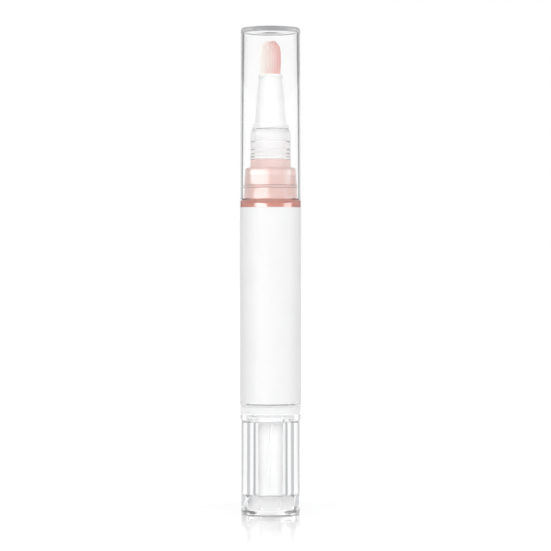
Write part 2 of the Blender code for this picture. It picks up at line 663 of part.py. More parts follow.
def ratchet_outline():
    """Saw teeth on the inside of the skirt, each a steep face and a long slope."""
    step = math.tau / RATCHET_TEETH
    points = []
    for i in range(RATCHET_TEETH):
        points.append(polar(RATCHET_CREST, step * i))
        points.append(polar(RATCHET_ROOT, step * (i + RATCHET_SLOPE_SHARE)))
    return points


def make_screw_rod(frame):
    """A rod with two flats that key it in the drive tube, and a round head for the piston."""
    finish = material("white_rod_plastic", "E9E9E7", 0.4)
    outline = double_d(ROD_RADIUS, ROD_HALF_FLAT, CORE_SIDES)
    rod = add_piece("screw_rod", prism(outline, 0, ROD_TOP - ROD_FOOT), finish, frame, ROD_FOOT)
    head_outline = [(0, 0), (ROD_HEAD_RADIUS, 0)]
    head_outline += [(ROD_HEAD_RADIUS, ROD_HEAD_THICKNESS / 2), (ROD_RADIUS, ROD_HEAD_THICKNESS)]
    head_outline += [(0, ROD_HEAD_THICKNESS)]
    head = add_piece("rod_head", turned(head_outline, CORE_SIDES), finish, frame, ROD_HEAD_FOOT)
    boolean(rod, head, "UNION")
    return rod


def make_piston(frame):
    """Two sealing lips with a waist between them, and a collar that holds the rod's head."""
    finish = material("white_piston_plastic", "E4E4E2", 0.45)
    waist = PISTON_RADIUS - PISTON_WAIST_DEPTH
    collar_bore = ROD_RADIUS + RUNNING_GAP
    cavity = ROD_HEAD_RADIUS + RUNNING_GAP
    cavity_top = PISTON_COLLAR + ROD_HEAD_THICKNESS + 2 * RUNNING_GAP
    skirt_bore = cavity + PISTON_UNDERCUT
    outline = [(0, PISTON_LENGTH), (PISTON_RADIUS - PISTON_EDGE, PISTON_LENGTH)]
    outline += [(PISTON_RADIUS, PISTON_LENGTH - PISTON_EDGE)]
    outline += [(PISTON_RADIUS, PISTON_LENGTH - PISTON_LIP_LENGTH)]
    outline += [(waist, PISTON_LENGTH - PISTON_LIP_LENGTH - PISTON_WAIST_DEPTH)]
    outline += [(waist, PISTON_LIP_LENGTH + PISTON_WAIST_DEPTH), (PISTON_RADIUS, PISTON_LIP_LENGTH)]
    outline += [(PISTON_RADIUS, PISTON_EDGE), (PISTON_RADIUS - PISTON_EDGE, 0)]
    outline += [(skirt_bore + PISTON_COLLAR / 2, 0), (skirt_bore, PISTON_COLLAR)]
    outline += [(skirt_bore - PISTON_COLLAR / 2, 0), (collar_bore, 0), (collar_bore, PISTON_COLLAR)]
    outline += [(cavity, PISTON_COLLAR), (cavity, cavity_top), (0, cavity_top)]
    return add_piece("piston", turned(outline, SHELL_SIDES), finish, frame, PISTON_FOOT)


def make_drive_tube(frame):
    """A tube keyed to the plug at its foot, to the click ring on its way and to the rod in its bore."""
    finish = material("white_drive_plastic", "F4F4F4", 0.35)
    length = DRIVE_TOP - DRIVE_FOOT
    barb_foot = HOUSING_TOP + SEAT_GAP - DRIVE_FOOT
    barb = DRIVE_RADIUS + BARB_HEIGHT
    key_foot = HOUSING_RIM - DRIVE_FOOT
    outline = [(0, 0), (DRIVE_RADIUS, 0), (DRIVE_RADIUS, barb_foot), (barb, barb_foot)]
    outline += [(barb, barb_foot + BARB_LAND), (DRIVE_RADIUS, barb_foot + BARB_LAND + BARB_SLOPE)]
    outline += [(DRIVE_RADIUS, length), (0, length)]
    tube = add_piece("drive_tube", turned(outline, CORE_SIDES), finish, frame, DRIVE_FOOT)

    bore = prism(double_d(DRIVE_BORE, ROD_HALF_FLAT + RUNNING_GAP, CORE_SIDES), -CUT_OVERRUN,
                 length + CUT_OVERRUN)
    boolean(tube, add_piece("drive_bore", bore, finish, frame, DRIVE_FOOT), "DIFFERENCE")

    flats = bmesh.new()
    for half_flat, bottom, top in ((DRIVE_FOOT_HALF_FLAT, -CUT_OVERRUN, DRIVE_FOOT_LENGTH),
                                   (DRIVE_KEY_HALF_FLAT, key_foot, key_foot + DRIVE_KEY_LENGTH)):
        for side in (-1, 1):
            near, far = side * half_flat, side * (DRIVE_RADIUS + CUT_OVERRUN)
            outline = [(-DRIVE_RADIUS, near), (DRIVE_RADIUS, near), (DRIVE_RADIUS, far), (-DRIVE_RADIUS, far)]
            add_prism(flats, outline, bottom, top)
    boolean(tube, add_piece("drive_flats", flats, finish, frame, DRIVE_FOOT), "DIFFERENCE")
    return tube


def pawl_outline(turn):
    """A spring arm that leaves the hub and curls out to the ratchet's crests."""
    root = CLICK_HUB_RADIUS - PAWL_THICKNESS
    climb = PAWL_REACH - PAWL_THICKNESS - root
    inner, outer = [], []
    for i in range(PAWL_STEPS + 1):
        share = i / PAWL_STEPS
        angle = turn + PAWL_SWEEP * share
        inner.append(polar(root + climb * share, angle))
        outer.append(polar(root + climb * share + PAWL_THICKNESS, angle))
    return inner + outer[::-1]


def make_click_ring(frame):
    finish = material("grey_click_plastic", "D9DADB", 0.4)
    foot = HOUSING_RIM + PRESS_GAP
    hub = turned([(0, 0), (CLICK_HUB_RADIUS, 0), (CLICK_HUB_RADIUS, CLICK_RING_HEIGHT),
                  (0, CLICK_RING_HEIGHT)], CORE_SIDES)
    ring = add_piece("click_ring", hub, finish, frame, foot)
    pawls = bmesh.new()
    margin = PRESS_GAP
    for i in range(PAWL_COUNT):
        add_prism(pawls, pawl_outline(math.tau * i / PAWL_COUNT), margin, CLICK_RING_HEIGHT - margin)
    boolean(ring, add_piece("click_pawls", pawls, finish, frame, foot), "UNION")
    key = prism(double_d(DRIVE_RADIUS + PRESS_GAP, DRIVE_KEY_HALF_FLAT + PRESS_GAP, CORE_SIDES),
                -CUT_OVERRUN, CLICK_RING_HEIGHT + CUT_OVERRUN)
    boolean(ring, add_piece("click_key", key, finish, frame, foot), "DIFFERENCE")
    return ring


# Knob and base plug
def crown(growth, bottom, frame, finish, name):
    """An eight-sided prism whose domed top leaves an arch on each side, grown all round by a gap."""
    top = PLUG_FLANGE_THICKNESS + CROWN_LENGTH + growth
    radius = CROWN_RADIUS + growth / math.cos(math.pi / CROWN_SIDES)
    rim = radius + PRESS_GAP
    outline = regular(radius, CROWN_SIDES)
    body = add_piece(name, prism(outline, bottom, top + CUT_OVERRUN), finish, frame, 0)
    dome = [(0, bottom - CUT_OVERRUN), (rim, bottom - CUT_OVERRUN)]
    dome += arc((rim - CROWN_DOME_DEPTH, top - CROWN_DOME_HEIGHT),
                (CROWN_DOME_DEPTH, CROWN_DOME_HEIGHT), 0, 90, ROUND_STEPS + EDGE_STEPS)
    dome += [(0, top)]
    boolean(body, add_piece(name + "_dome", turned(dome, DOME_SIDES), finish, frame, 0), "INTERSECT")
    return body


def make_knob(frame):
    """A thick clear tube with a neck that turns in the barrel foot and a pocket for the plug."""
    finish = material("clear_knob_plastic", "F7F9FA", 0.04, clear=1.0)
    foot_bevel = KNOB_FOOT_BEVEL
    top_bevel = KNOB_TOP_BEVEL
    outline = [(KNOB_BORE, 0), (KNOB_RADIUS - foot_bevel, 0)]
    outline += arc((KNOB_RADIUS - foot_bevel, foot_bevel), (foot_bevel, foot_bevel), -90, 0, EDGE_STEPS)[1:]
    outline += [(KNOB_RADIUS, KNOB_LENGTH - top_bevel), (KNOB_RADIUS - top_bevel, KNOB_LENGTH)]
    outline += [(KNOB_NECK_RADIUS, KNOB_LENGTH), (KNOB_NECK_RADIUS, KNOB_NECK_TOP)]
    outline += [(KNOB_BORE, KNOB_NECK_TOP)]
    knob = add_piece("knob", turned(outline, SHELL_SIDES), finish, frame, 0)
    pocket = crown(PRESS_GAP, PLUG_FLANGE_THICKNESS / 2, frame, finish, "plug_pocket")
    seat_radius = PLUG_FLANGE_RADIUS + PRESS_GAP
    seat_top = PLUG_FLANGE_THICKNESS + PRESS_GAP
    seat = [(0, -CUT_OVERRUN), (seat_radius, -CUT_OVERRUN), (seat_radius, seat_top), (0, seat_top)]
    boolean(pocket, add_piece("flange_seat", turned(seat, SHELL_SIDES), finish, frame, 0), "UNION")
    boolean(knob, pocket, "DIFFERENCE")
    return knob


def make_base_plug(frame):
    """A round flange under the eight-sided crown, with a keyed socket for the drive tube."""
    finish = material("clear_plug_plastic", "EEF1F2", 0.08, clear=1.0)
    flange = [(0, 0), (PLUG_FLANGE_RADIUS, 0), (PLUG_FLANGE_RADIUS, PLUG_FLANGE_THICKNESS)]
    flange += [(0, PLUG_FLANGE_THICKNESS)]
    plug = add_piece("base_plug", turned(flange, SHELL_SIDES), finish, frame, 0)
    boolean(plug, crown(0, PLUG_FLANGE_THICKNESS / 2, frame, finish, "plug_crown"), "UNION")
    socket = prism(double_d(DRIVE_RADIUS + PRESS_GAP, DRIVE_FOOT_HALF_FLAT + PRESS_GAP, CORE_SIDES),
                   SOCKET_FLOOR, SOCKET_FLOOR + SOCKET_DEPTH + CUT_OVERRUN)
    boolean(plug, add_piece("drive_socket", socket, finish, frame, 0), "DIFFERENCE")
    return plug


def main():
    clear_scene()
    barrel_frame = add_frame("barrel_frame", BARREL_FOOT)
    knob_frame = add_frame("knob_frame", 0, barrel_frame)
    rod_frame = add_frame("rod_frame", ROD_FOOT, knob_frame)
    piston_frame = add_frame("piston_frame", PISTON_FOOT, barrel_frame)
    cap_frame = add_frame("cap_frame", CAP_MOUTH, barrel_frame)

    make_barrel(barrel_frame)
    make_sleeve(barrel_frame)
    make_nozzle(barrel_frame)
    make_ferrule(barrel_frame)
    make_feed_tube(barrel_frame)
    make_brush(barrel_frame)
    make_gel_neck(barrel_frame)
    make_gel_chamber(barrel_frame)
    make_nut_housing(barrel_frame)
    make_piston(piston_frame)
    make_screw_rod(rod_frame)
    make_drive_tube(knob_frame)
    make_click_ring(knob_frame)
    make_knob(knob_frame)
    make_base_plug(knob_frame)
    make_cap(cap_frame)
    print("piston feed in mm:", round(FEED * 1000, 3))


main()
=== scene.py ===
# %% [markdown]
# # A nail art pen in clear plastic
#
# The object is a twist pen for nail gel. Turning the clear knob at its foot drives a screw inside,
# the screw pushes a piston up the barrel, and the pink gel comes out in the brush under the clear cap.
# Nearly every piece is a plastic moulding turned round one axis, so this lesson is about two things:
# how to turn a profile into a clean piece, and how to light and shade clear plastic so that it reads
# against a white background.
#
# The imported model of the pen is loaded first. It gives the bodies that the pieces ride on.

import math

import bmesh
import bpy
import numpy as np
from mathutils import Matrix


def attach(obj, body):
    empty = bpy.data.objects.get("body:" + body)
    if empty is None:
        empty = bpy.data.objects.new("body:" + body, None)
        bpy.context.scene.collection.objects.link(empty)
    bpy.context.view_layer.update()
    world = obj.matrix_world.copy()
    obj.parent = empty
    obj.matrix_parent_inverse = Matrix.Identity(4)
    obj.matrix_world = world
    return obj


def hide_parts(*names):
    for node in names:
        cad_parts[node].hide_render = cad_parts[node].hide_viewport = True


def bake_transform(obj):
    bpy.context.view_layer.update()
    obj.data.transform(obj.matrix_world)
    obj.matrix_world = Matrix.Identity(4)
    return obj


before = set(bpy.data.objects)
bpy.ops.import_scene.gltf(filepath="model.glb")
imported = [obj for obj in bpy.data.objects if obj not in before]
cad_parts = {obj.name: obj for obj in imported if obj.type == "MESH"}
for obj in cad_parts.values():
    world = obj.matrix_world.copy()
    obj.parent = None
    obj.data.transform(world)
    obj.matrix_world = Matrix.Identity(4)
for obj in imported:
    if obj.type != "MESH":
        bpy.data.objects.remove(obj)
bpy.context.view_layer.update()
MM = 0.001

# %% [markdown]
# ## The camera
#
# The photograph is a level product shot from a little over half a metre, with a long lens, so the
# pen's sides stay parallel and only the rims at its two ends show as shallow arcs. A long lens and a
# level camera give the same picture. The camera stands at the height that puts the pen's base near
# the lower edge of the frame, which needs no lens shift.

# %% Camera
IMAGE_SIDE = 551
PIXEL = 0.2614 * MM
CAMERA_DISTANCE = 692 * MM
CAMERA_ASIDE = 1.3 * MM
CAMERA_HEIGHT = 62.2 * MM
SENSOR_WIDTH = 36

bpy.ops.object.select_all(action="DESELECT")
bpy.ops.object.camera_add(location=(CAMERA_ASIDE, -CAMERA_DISTANCE, CAMERA_HEIGHT),
                          rotation=(math.pi / 2, 0, 0))
camera = bpy.context.object
camera.name = "studio_camera"
camera.data.sensor_width = SENSOR_WIDTH
camera.data.lens = SENSOR_WIDTH * CAMERA_DISTANCE / (IMAGE_SIDE * PIXEL)
bpy.context.scene.camera = camera
bpy.context.scene.view_settings.view_transform = "Standard"
print("lens in mm:", round(camera.data.lens, 1))

# %% [markdown]
# ## Helpers for colours and nodes
#
# Colours are written as the hex values that a colour picker shows, and one function turns them to the
# linear values that the shader wants. One more function adds a node, sets it up and links it, so that
# each material below reads as a short recipe.

# %% Colour and node helpers
def linear(hex_colour):
    """Linear RGBA of a six-digit sRGB hex value."""
    channels = [int(hex_colour[i:i + 2], 16) / 255 for i in (0, 2, 4)]
    return [c / 12.92 if c <= 0.04045 else ((c + 0.055) / 1.055) ** 2.4 for c in channels] + [1.0]


def add_node(tree, kind, settings=None, inputs=None):
    """Add one node. Settings are its properties, and inputs are values or sockets for its sockets."""
    node = tree.nodes.new(kind)
    for name, value in (settings or {}).items():
        setattr(node, name, value)
    for name, value in (inputs or {}).items():
        if isinstance(value, bpy.types.NodeSocket):
            tree.links.new(value, node.inputs[name])
        else:
            node.inputs[name].default_value = value
    return node


WHITE = linear("FFFFFF")
print("white:", WHITE)

# %% [markdown]
# ## The studio
#
# Clear plastic shows nothing of its own: it shows the room, bent. In a plain white room it would
# vanish, so the room round the pen is a ring of white with greyer stretches. Wherever a curved wall
# bends the view into one of these, a grey line is drawn, and that outlines the cap and the knob. The
# ceiling is grey as well, which draws the thick end of the cap.
#
# One world can do all this, because its shader can ask how a ray came to it. The camera sees plain
# white. A ray that lights a matt surface sees an even glow, which is stronger on the camera's side. A
# ray that was mirrored or bent sees the room, and the number of surfaces that it crossed tells where it
# was: one wall at the sides of the cap, two walls through its middle, and more in the thick base plug.

# %% Directions and shades
def direction_parts(tree, vector):
    """The angle round Z, from +Y towards +X, and the height of a direction, as sockets."""
    axes = add_node(tree, "ShaderNodeSeparateXYZ", inputs={0: vector}).outputs
    angle = add_node(tree, "ShaderNodeMath", {"operation": "ARCTAN2"}, {0: axes["X"], 1: axes["Y"]})
    return angle.outputs[0], axes["Z"]


def studio_ring(tree, angle, stops):
    """Shades round the pen, given by their degrees from straight behind it and alike on both sides."""
    apart = add_node(tree, "ShaderNodeMath", {"operation": "ABSOLUTE"}, {0: angle})
    share = add_node(tree, "ShaderNodeMath", {"operation": "DIVIDE"}, {0: apart.outputs[0], 1: math.pi})
    ring = add_node(tree, "ShaderNodeValToRGB", inputs={"Fac": share.outputs[0]})
    shades = ring.color_ramp.elements
    for degrees, shade in stops[1:-1]:
        shades.new(degrees / 180).color = linear(shade)
    shades[0].color = linear(stops[0][1])
    shades[-1].color = linear(stops[-1][1])
    return ring.outputs["Color"]


SOFT = {"interpolation_type": "SMOOTHSTEP"}
FADE_FROM = 0.3
FADE_TO = 1.7


def soft_patch(tree, angle, level, middle, half_width, low, high, edge, brightness):
    """A bright patch of the studio, which fades to its sides between two shares of its half width.

    Its middle and half width are in degrees. Low, high and edge are levels, the heights of directions.
    """
    off = add_node(tree, "ShaderNodeMath", {"operation": "SUBTRACT"}, {0: angle, 1: math.radians(middle)})
    apart = add_node(tree, "ShaderNodeMath", {"operation": "COSINE"}, {0: off.outputs[0]}).outputs[0]
    outer, inner = (math.cos(math.radians(half_width * share)) for share in (FADE_TO, FADE_FROM))
    patch = brightness
    for value, start, end in ((apart, outer, inner), (level, low - edge, low + edge),
                              (level, high + edge, high - edge)):
        share = add_node(tree, "ShaderNodeMapRange", SOFT,
                         {"Value": value, "From Min": start, "From Max": end})
        patch = add_node(tree, "ShaderNodeMath", {"operation": "MULTIPLY"},
                         {0: patch, 1: share.outputs[0]}).outputs[0]
    return patch


world = bpy.data.worlds.new("white_studio")
bpy.context.scene.world = world
world.use_nodes = True
studio = world.node_tree
studio.nodes.clear()
angle, level = direction_parts(studio, add_node(studio, "ShaderNodeTexCoord").outputs["Generated"])
path = add_node(studio, "ShaderNodeLightPath").outputs
print("world:", world.name)

# %% The room that bent rays see
# A ray in a single wall crosses up to three surfaces. Through both walls it crosses four or five, and
# sees plain white, so that the middle of the cap is clear. One with more was mostly in the base plug.
ONE_WALL = 3.5
BOTH_WALLS = 5.5
# Two stretches of grey at the sides of the view draw the lines down the cap's walls.
WALL_RING = [(0, "F0F1F2"), (25, "F0F1F2"), (31, "8E9092"), (42, "8E9092"), (46, "FFFFFF"), (180, "FFFFFF")]
# Two nearly black stretches draw the dark patches at the ends of the plug's flange.
DEEP_RING = [(0, "FFFFFF"), (20, "FFFFFF"), (25, "3C3E40"), (47, "3C3E40"), (56, "FFFFFF"), (180, "FFFFFF")]
CEILING_GREY = "A6A8AA"
CEILING_START = 0.16
CEILING_FULL = 0.42

through_both = add_node(studio, "ShaderNodeMath", {"operation": "GREATER_THAN"},
                        {0: path["Transmission Depth"], 1: ONE_WALL})
in_plug = add_node(studio, "ShaderNodeMath", {"operation": "GREATER_THAN"},
                   {0: path["Transmission Depth"], 1: BOTH_WALLS})
deep_ring = add_node(studio, "ShaderNodeMix", {"data_type": "RGBA"},
                     {"Factor": in_plug.outputs[0], "A": WHITE, "B": studio_ring(studio, angle, DEEP_RING)})
ring = add_node(studio, "ShaderNodeMix", {"data_type": "RGBA"},
                {"Factor": through_both.outputs[0], "A": studio_ring(studio, angle, WALL_RING),
                 "B": deep_ring.outputs["Result"]})
high = add_node(studio, "ShaderNodeMapRange", SOFT,
                {"Value": level, "From Min": CEILING_START, "From Max": CEILING_FULL})
room = add_node(studio, "ShaderNodeMix", {"data_type": "RGBA"},
                {"Factor": high.outputs[0], "A": ring.outputs["Result"], "B": linear(CEILING_GREY)})
print("ring stops:", len(WALL_RING), "for the walls and", len(DEEP_RING), "for the plug")

# %% Mirrored rays
# A ray that comes straight from a polished surface sees no ceiling, or the white pieces would look
# grey above. One that the floor has mirrored up through the pen sees the room at half its light, and
# that greys the pen's reflection.
MIRROR_START = 0.070
MIRROR_FULL = 0.084
FLOOR_START = 0.086
FLOOR_FULL = 0.089
MIRRORED_LEVEL = 0.50

direct = add_node(studio, "ShaderNodeMath", {"operation": "LESS_THAN"},
                  {0: path["Transmission Depth"], 1: 0.5})
above = add_node(studio, "ShaderNodeMapRange", SOFT,
                 {"Value": level, "From Min": MIRROR_START, "From Max": MIRROR_FULL})
mirrored = add_node(studio, "ShaderNodeMath", {"operation": "MULTIPLY"},
                    {0: direct.outputs[0], 1: above.outputs[0]})
room = add_node(studio, "ShaderNodeMix", {"data_type": "RGBA"},
                {"Factor": mirrored.outputs[0], "A": room.outputs["Result"], "B": WHITE})
turned_back = add_node(studio, "ShaderNodeMath", {"operation": "GREATER_THAN"},
                       {0: path["Glossy Depth"], 1: 0.5})
thrown_up = add_node(studio, "ShaderNodeMapRange", SOFT,
                     {"Value": level, "From Min": FLOOR_START, "From Max": FLOOR_FULL})
for share in (path["Is Transmission Ray"], thrown_up.outputs[0]):
    turned_back = add_node(studio, "ShaderNodeMath", {"operation": "MULTIPLY"},
                           {0: turned_back.outputs[0], 1: share})
room_level = add_node(studio, "ShaderNodeMapRange",
                      inputs={"Value": turned_back.outputs[0], "To Min": 1.0, "To Max": MIRRORED_LEVEL})
room_light = add_node(studio, "ShaderNodeBackground",
                      inputs={"Color": room.outputs["Result"], "Strength": room_level.outputs[0]})
print("the floor's mirror sends the room back at", MIRRORED_LEVEL)

# %% Soft boxes
# Each box is its middle and half width in degrees, its lowest and highest level and the softness of
# these, and its brightness. The two low ones are the highlights on the band of gel under the cap, and
# the high ones light the sloping faces of the cap's seat.
SOFT_BOXES = {
    "key": (-142, 19, 0.012, 0.036, 0.0015, 14.0),
    "fill": (111, 15, 0.012, 0.036, 0.0015, 8.0),
    "seat key": (-128, 34, 0.124, 0.180, 0.010, 7.6),
    "seat fill": (71, 35, 0.124, 0.180, 0.010, 4.4),
    "seat side": (-64, 34, 0.124, 0.180, 0.010, 2.8),
}

box_sum = 0.0
for box in SOFT_BOXES.values():
    patch = soft_patch(studio, angle, level, *box)
    box_sum = add_node(studio, "ShaderNodeMath", {"operation": "ADD"}, {0: box_sum, 1: patch}).outputs[0]
box_light = add_node(studio, "ShaderNodeBackground", inputs={"Color": WHITE, "Strength": box_sum})
print("soft boxes:", ", ".join(SOFT_BOXES))

# %% The glow on matt surfaces
# The glow behind the camera is a patch like the boxes, but very tall. Light that reaches a matt piece
# through clear walls is weaker by each surface that throws some of it back, and MADE_GOOD is what each
# surface gives back for that.
GLOW = 0.56
FRONT_GLOW = (-180, 32, -0.50, 0.80, 0.1, 1.52)
MADE_GOOD = 1.19

front = soft_patch(studio, angle, level, *FRONT_GLOW)
glow_strength = add_node(studio, "ShaderNodeMath", {"operation": "ADD"}, {0: front, 1: GLOW})
through = add_node(studio, "ShaderNodeMath", {"operation": "POWER"},
                   {0: MADE_GOOD, 1: path["Transmission Depth"]})
glow_level = add_node(studio, "ShaderNodeMath", {"operation": "MULTIPLY"},
                      {0: glow_strength.outputs[0], 1: through.outputs[0]})
glow = add_node(studio, "ShaderNodeBackground", inputs={"Color": WHITE, "Strength": glow_level.outputs[0]})
print("glow", GLOW, "from all sides and", FRONT_GLOW[-1], "more from the front")

# %% Which ray sees what
# Rays trapped in the thick plug and knob are mirrored many times before they come out, so Cycles is
# allowed many bounces, or they would end black.
TOTAL_BOUNCES = 24
MATT_BOUNCES = 10
CLEAR_BOUNCES = 20

bent = add_node(studio, "ShaderNodeMath", {"operation": "ADD", "use_clamp": True},
                {0: path["Is Glossy Ray"], 1: path["Is Transmission Ray"]})
unlit = add_node(studio, "ShaderNodeMath", {"operation": "LESS_THAN"},
                 {0: path["Diffuse Depth"], 1: 0.5})
bent = add_node(studio, "ShaderNodeMath", {"operation": "MULTIPLY"},
                {0: bent.outputs[0], 1: unlit.outputs[0]})
bent_light = add_node(studio, "ShaderNodeAddShader",
                      inputs={0: room_light.outputs[0], 1: box_light.outputs[0]})
around = add_node(studio, "ShaderNodeMixShader",
                  inputs={0: bent.outputs[0], 1: glow.outputs[0], 2: bent_light.outputs[0]})
plain = add_node(studio, "ShaderNodeBackground", inputs={"Color": WHITE, "Strength": 1.0})
shown = add_node(studio, "ShaderNodeMixShader",
                 inputs={0: path["Is Camera Ray"], 1: around.outputs[0], 2: plain.outputs[0]})
add_node(studio, "ShaderNodeOutputWorld", inputs={"Surface": shown.outputs[0]})
cycles = bpy.context.scene.cycles
cycles.max_bounces = TOTAL_BOUNCES
cycles.diffuse_bounces = MATT_BOUNCES
cycles.glossy_bounces = cycles.transmission_bounces = CLEAR_BOUNCES
print("world nodes:", len(studio.nodes))

# %% [markdown]
# ## The floor
#
# The pen stands on a sheet of white acrylic, 30 m wide here, so that its edge melts into the horizon.
# It has to stay white in the picture without brighter lamps, so its shader adds a little light of its
# own for the camera and for mirrored rays. Seen through clear plastic it is one more ring of white and
# grey, which draws the broad and the narrow grey bands in the wall of the knob, and it darkens where
# the base keeps the light off it. Its soft gloss gives the short, fading reflection under the base.

# %% Floor sheet
FLOOR_SIZE = 30
FLOOR_GAP = 0.01 * MM
FLOOR_LIGHT = 0.42
SHEET_ROUGHNESS = 0.6

bpy.ops.object.select_all(action="DESELECT")
bpy.ops.mesh.primitive_plane_add(size=FLOOR_SIZE, location=(0, 0, -FLOOR_GAP))
floor = bpy.context.object
floor.name = "acrylic_floor"


def new_finish(name):
    """A new material, its node tree, its main shader and the coordinates of the object that it is on."""
    finish = bpy.data.materials.new(name)
    finish.use_nodes = True
    tree = finish.node_tree
    place = add_node(tree, "ShaderNodeTexCoord").outputs["Object"]
    return finish, tree, tree.nodes["Principled BSDF"], place


acrylic, tree, sheet, place = new_finish("white_acrylic_sheet")
sheet.inputs["Base Color"].default_value = linear("F2F2F2")
sheet.inputs["Roughness"].default_value = SHEET_ROUGHNESS
sheet.inputs["Specular IOR Level"].default_value = 0.0
floor.data.materials.append(acrylic)
path = add_node(tree, "ShaderNodeLightPath").outputs
seen = add_node(tree, "ShaderNodeMath", {"operation": "ADD"},
                {0: path["Is Camera Ray"], 1: path["Is Glossy Ray"]})
own_light = add_node(tree, "ShaderNodeMath", {"operation": "MULTIPLY"},
                     {0: seen.outputs[0], 1: FLOOR_LIGHT})
shine = add_node(tree, "ShaderNodeEmission", inputs={"Color": WHITE, "Strength": own_light.outputs[0]})
lit = add_node(tree, "ShaderNodeAddShader", inputs={0: sheet.outputs[0], 1: shine.outputs[0]})
print("floor:", floor.name)

# %% Floor gloss
GLOSS_SHARE = 0.80
GLOSS_REACH = 130 * MM
GLOSS_ROUGHNESS = 0.11

away = add_node(tree, "ShaderNodeVectorMath", {"operation": "LENGTH"}, {0: place}).outputs["Value"]
near = add_node(tree, "ShaderNodeMapRange", SOFT,
                {"Value": away, "From Min": GLOSS_REACH, "From Max": 0.0,
                 "To Min": 0.0, "To Max": GLOSS_SHARE})
polish = add_node(tree, "ShaderNodeBsdfGlossy", inputs={"Color": WHITE, "Roughness": GLOSS_ROUGHNESS})
both = add_node(tree, "ShaderNodeMixShader",
                inputs={0: near.outputs[0], 1: lit.outputs[0], 2: polish.outputs[0]})
print("gloss reaches", round(GLOSS_REACH / MM), "mm")

# %% Floor behind clear plastic
BAND_GREY = "C4C6C8"
GAP_GREY = "B4B6B8"
FLOOR_RING = [(0, BAND_GREY), (25, BAND_GREY), (32, "FFFFFF"), (58, "FFFFFF"), (65, GAP_GREY),
              (115, GAP_GREY), (122, "FFFFFF"), (148, "FFFFFF"), (155, GAP_GREY), (180, GAP_GREY)]
BASE_RADIUS = 8 * MM
CONTACT_REACH = 24 * MM
CONTACT_SHADE = 0.12

angle = direction_parts(tree, place)[0]
through_both = add_node(tree, "ShaderNodeMath", {"operation": "GREATER_THAN"},
                        {0: path["Transmission Depth"], 1: ONE_WALL})
ring = add_node(tree, "ShaderNodeMix", {"data_type": "RGBA"},
                {"Factor": through_both.outputs[0], "A": studio_ring(tree, angle, FLOOR_RING), "B": WHITE})
contact = add_node(tree, "ShaderNodeMapRange", SOFT,
                   {"Value": away, "From Min": BASE_RADIUS, "From Max": CONTACT_REACH,
                    "To Min": CONTACT_SHADE, "To Max": 1.0})
ring_light = add_node(tree, "ShaderNodeEmission",
                      inputs={"Color": ring.outputs["Result"], "Strength": contact.outputs[0]})
surface = add_node(tree, "ShaderNodeMixShader",
                   inputs={0: path["Is Transmission Ray"], 1: both.outputs[0], 2: ring_light.outputs[0]})
tree.links.new(surface.outputs[0], tree.nodes["Material Output"].inputs["Surface"])
print("floor ring:", len(FLOOR_RING), "stops")

# %% [markdown]
# ## Turning a piece
#
# A moulded tube, cone or cap is a profile turned round an axis, and that is also the easiest way to
# model it by hand. A tiny plane is merged to one point, the point is extruded from corner to corner
# along the profile, and the spin operator carries it once round. Doubles are merged where the ends
# of the turn meet, and the faces are made to point outwards. Sharp corners come first, and each ring
# of edges that is rounded on the real moulding is bevelled afterwards.

# %% Turning helpers
RING_STEPS = 128
WELD = 0.001 * MM
NEAR = 0.004 * MM


def let_go():
    """Leave edit mode with nothing selected, because an operator acts on all that is selected."""
    if bpy.context.object and bpy.context.object.mode != "OBJECT":
        bpy.ops.object.mode_set(mode="OBJECT")
    bpy.ops.object.select_all(action="DESELECT")


def draw_profile(name, corners):
    """A line through (radius, height) corners in mm, drawn in edit mode and left open there."""
    let_go()
    bpy.ops.mesh.primitive_plane_add(size=MM)
    piece = bpy.context.object
    piece.name = piece.data.name = name
    bpy.ops.object.mode_set(mode="EDIT")
    bpy.ops.mesh.select_mode(type="VERT")
    bpy.ops.mesh.select_all(action="SELECT")
    bpy.ops.mesh.merge(type="CENTER")
    radius, height = corners[0]
    bpy.ops.transform.translate(value=(radius * MM, 0, height * MM))
    for next_radius, next_height in corners[1:]:
        step = ((next_radius - radius) * MM, 0, (next_height - height) * MM)
        bpy.ops.mesh.extrude_region_move(TRANSFORM_OT_translate={"value": step})
        radius, height = next_radius, next_height
    return piece


def turn(name, corners, steps=RING_STEPS):
    """A piece turned on the pen's axis from (radius, height) corners in mm.

    A profile that starts and ends on the axis is closed by its poles, and any other one by its first corner.
    """
    piece = draw_profile(name, corners + (corners[:1] if corners[0][0] > 0 else []))
    bpy.ops.mesh.select_all(action="SELECT")
    bpy.ops.mesh.remove_doubles(threshold=WELD)
    bpy.ops.mesh.spin(steps=steps, angle=math.tau, center=(0, 0, 0), axis=(0, 0, 1), use_auto_merge=True)
    bpy.ops.mesh.select_all(action="SELECT")
    bpy.ops.mesh.remove_doubles(threshold=WELD)
    bpy.ops.mesh.normals_make_consistent(inside=False)
    bpy.ops.object.mode_set(mode="OBJECT")
    return piece


def pick(piece, kind, chosen):
    """In edit mode, select the vertices, edges or faces that chosen() says yes to, and no others."""
    bpy.ops.mesh.select_mode(type=kind)
    bpy.ops.mesh.select_all(action="DESELECT")
    mesh = bmesh.from_edit_mesh(piece.data)
    for element in {"VERT": mesh.verts, "EDGE": mesh.edges, "FACE": mesh.faces}[kind]:
        element.select_set(chosen(element))
    bmesh.update_edit_mesh(piece.data)


def on_ring(vertex, radius, height):
    """Whether a vertex lies on the ring of a radius and a height in mm."""
    off = abs(math.hypot(vertex.co.x, vertex.co.y) - radius * MM)
    return off < NEAR and abs(vertex.co.z - height * MM) < NEAR


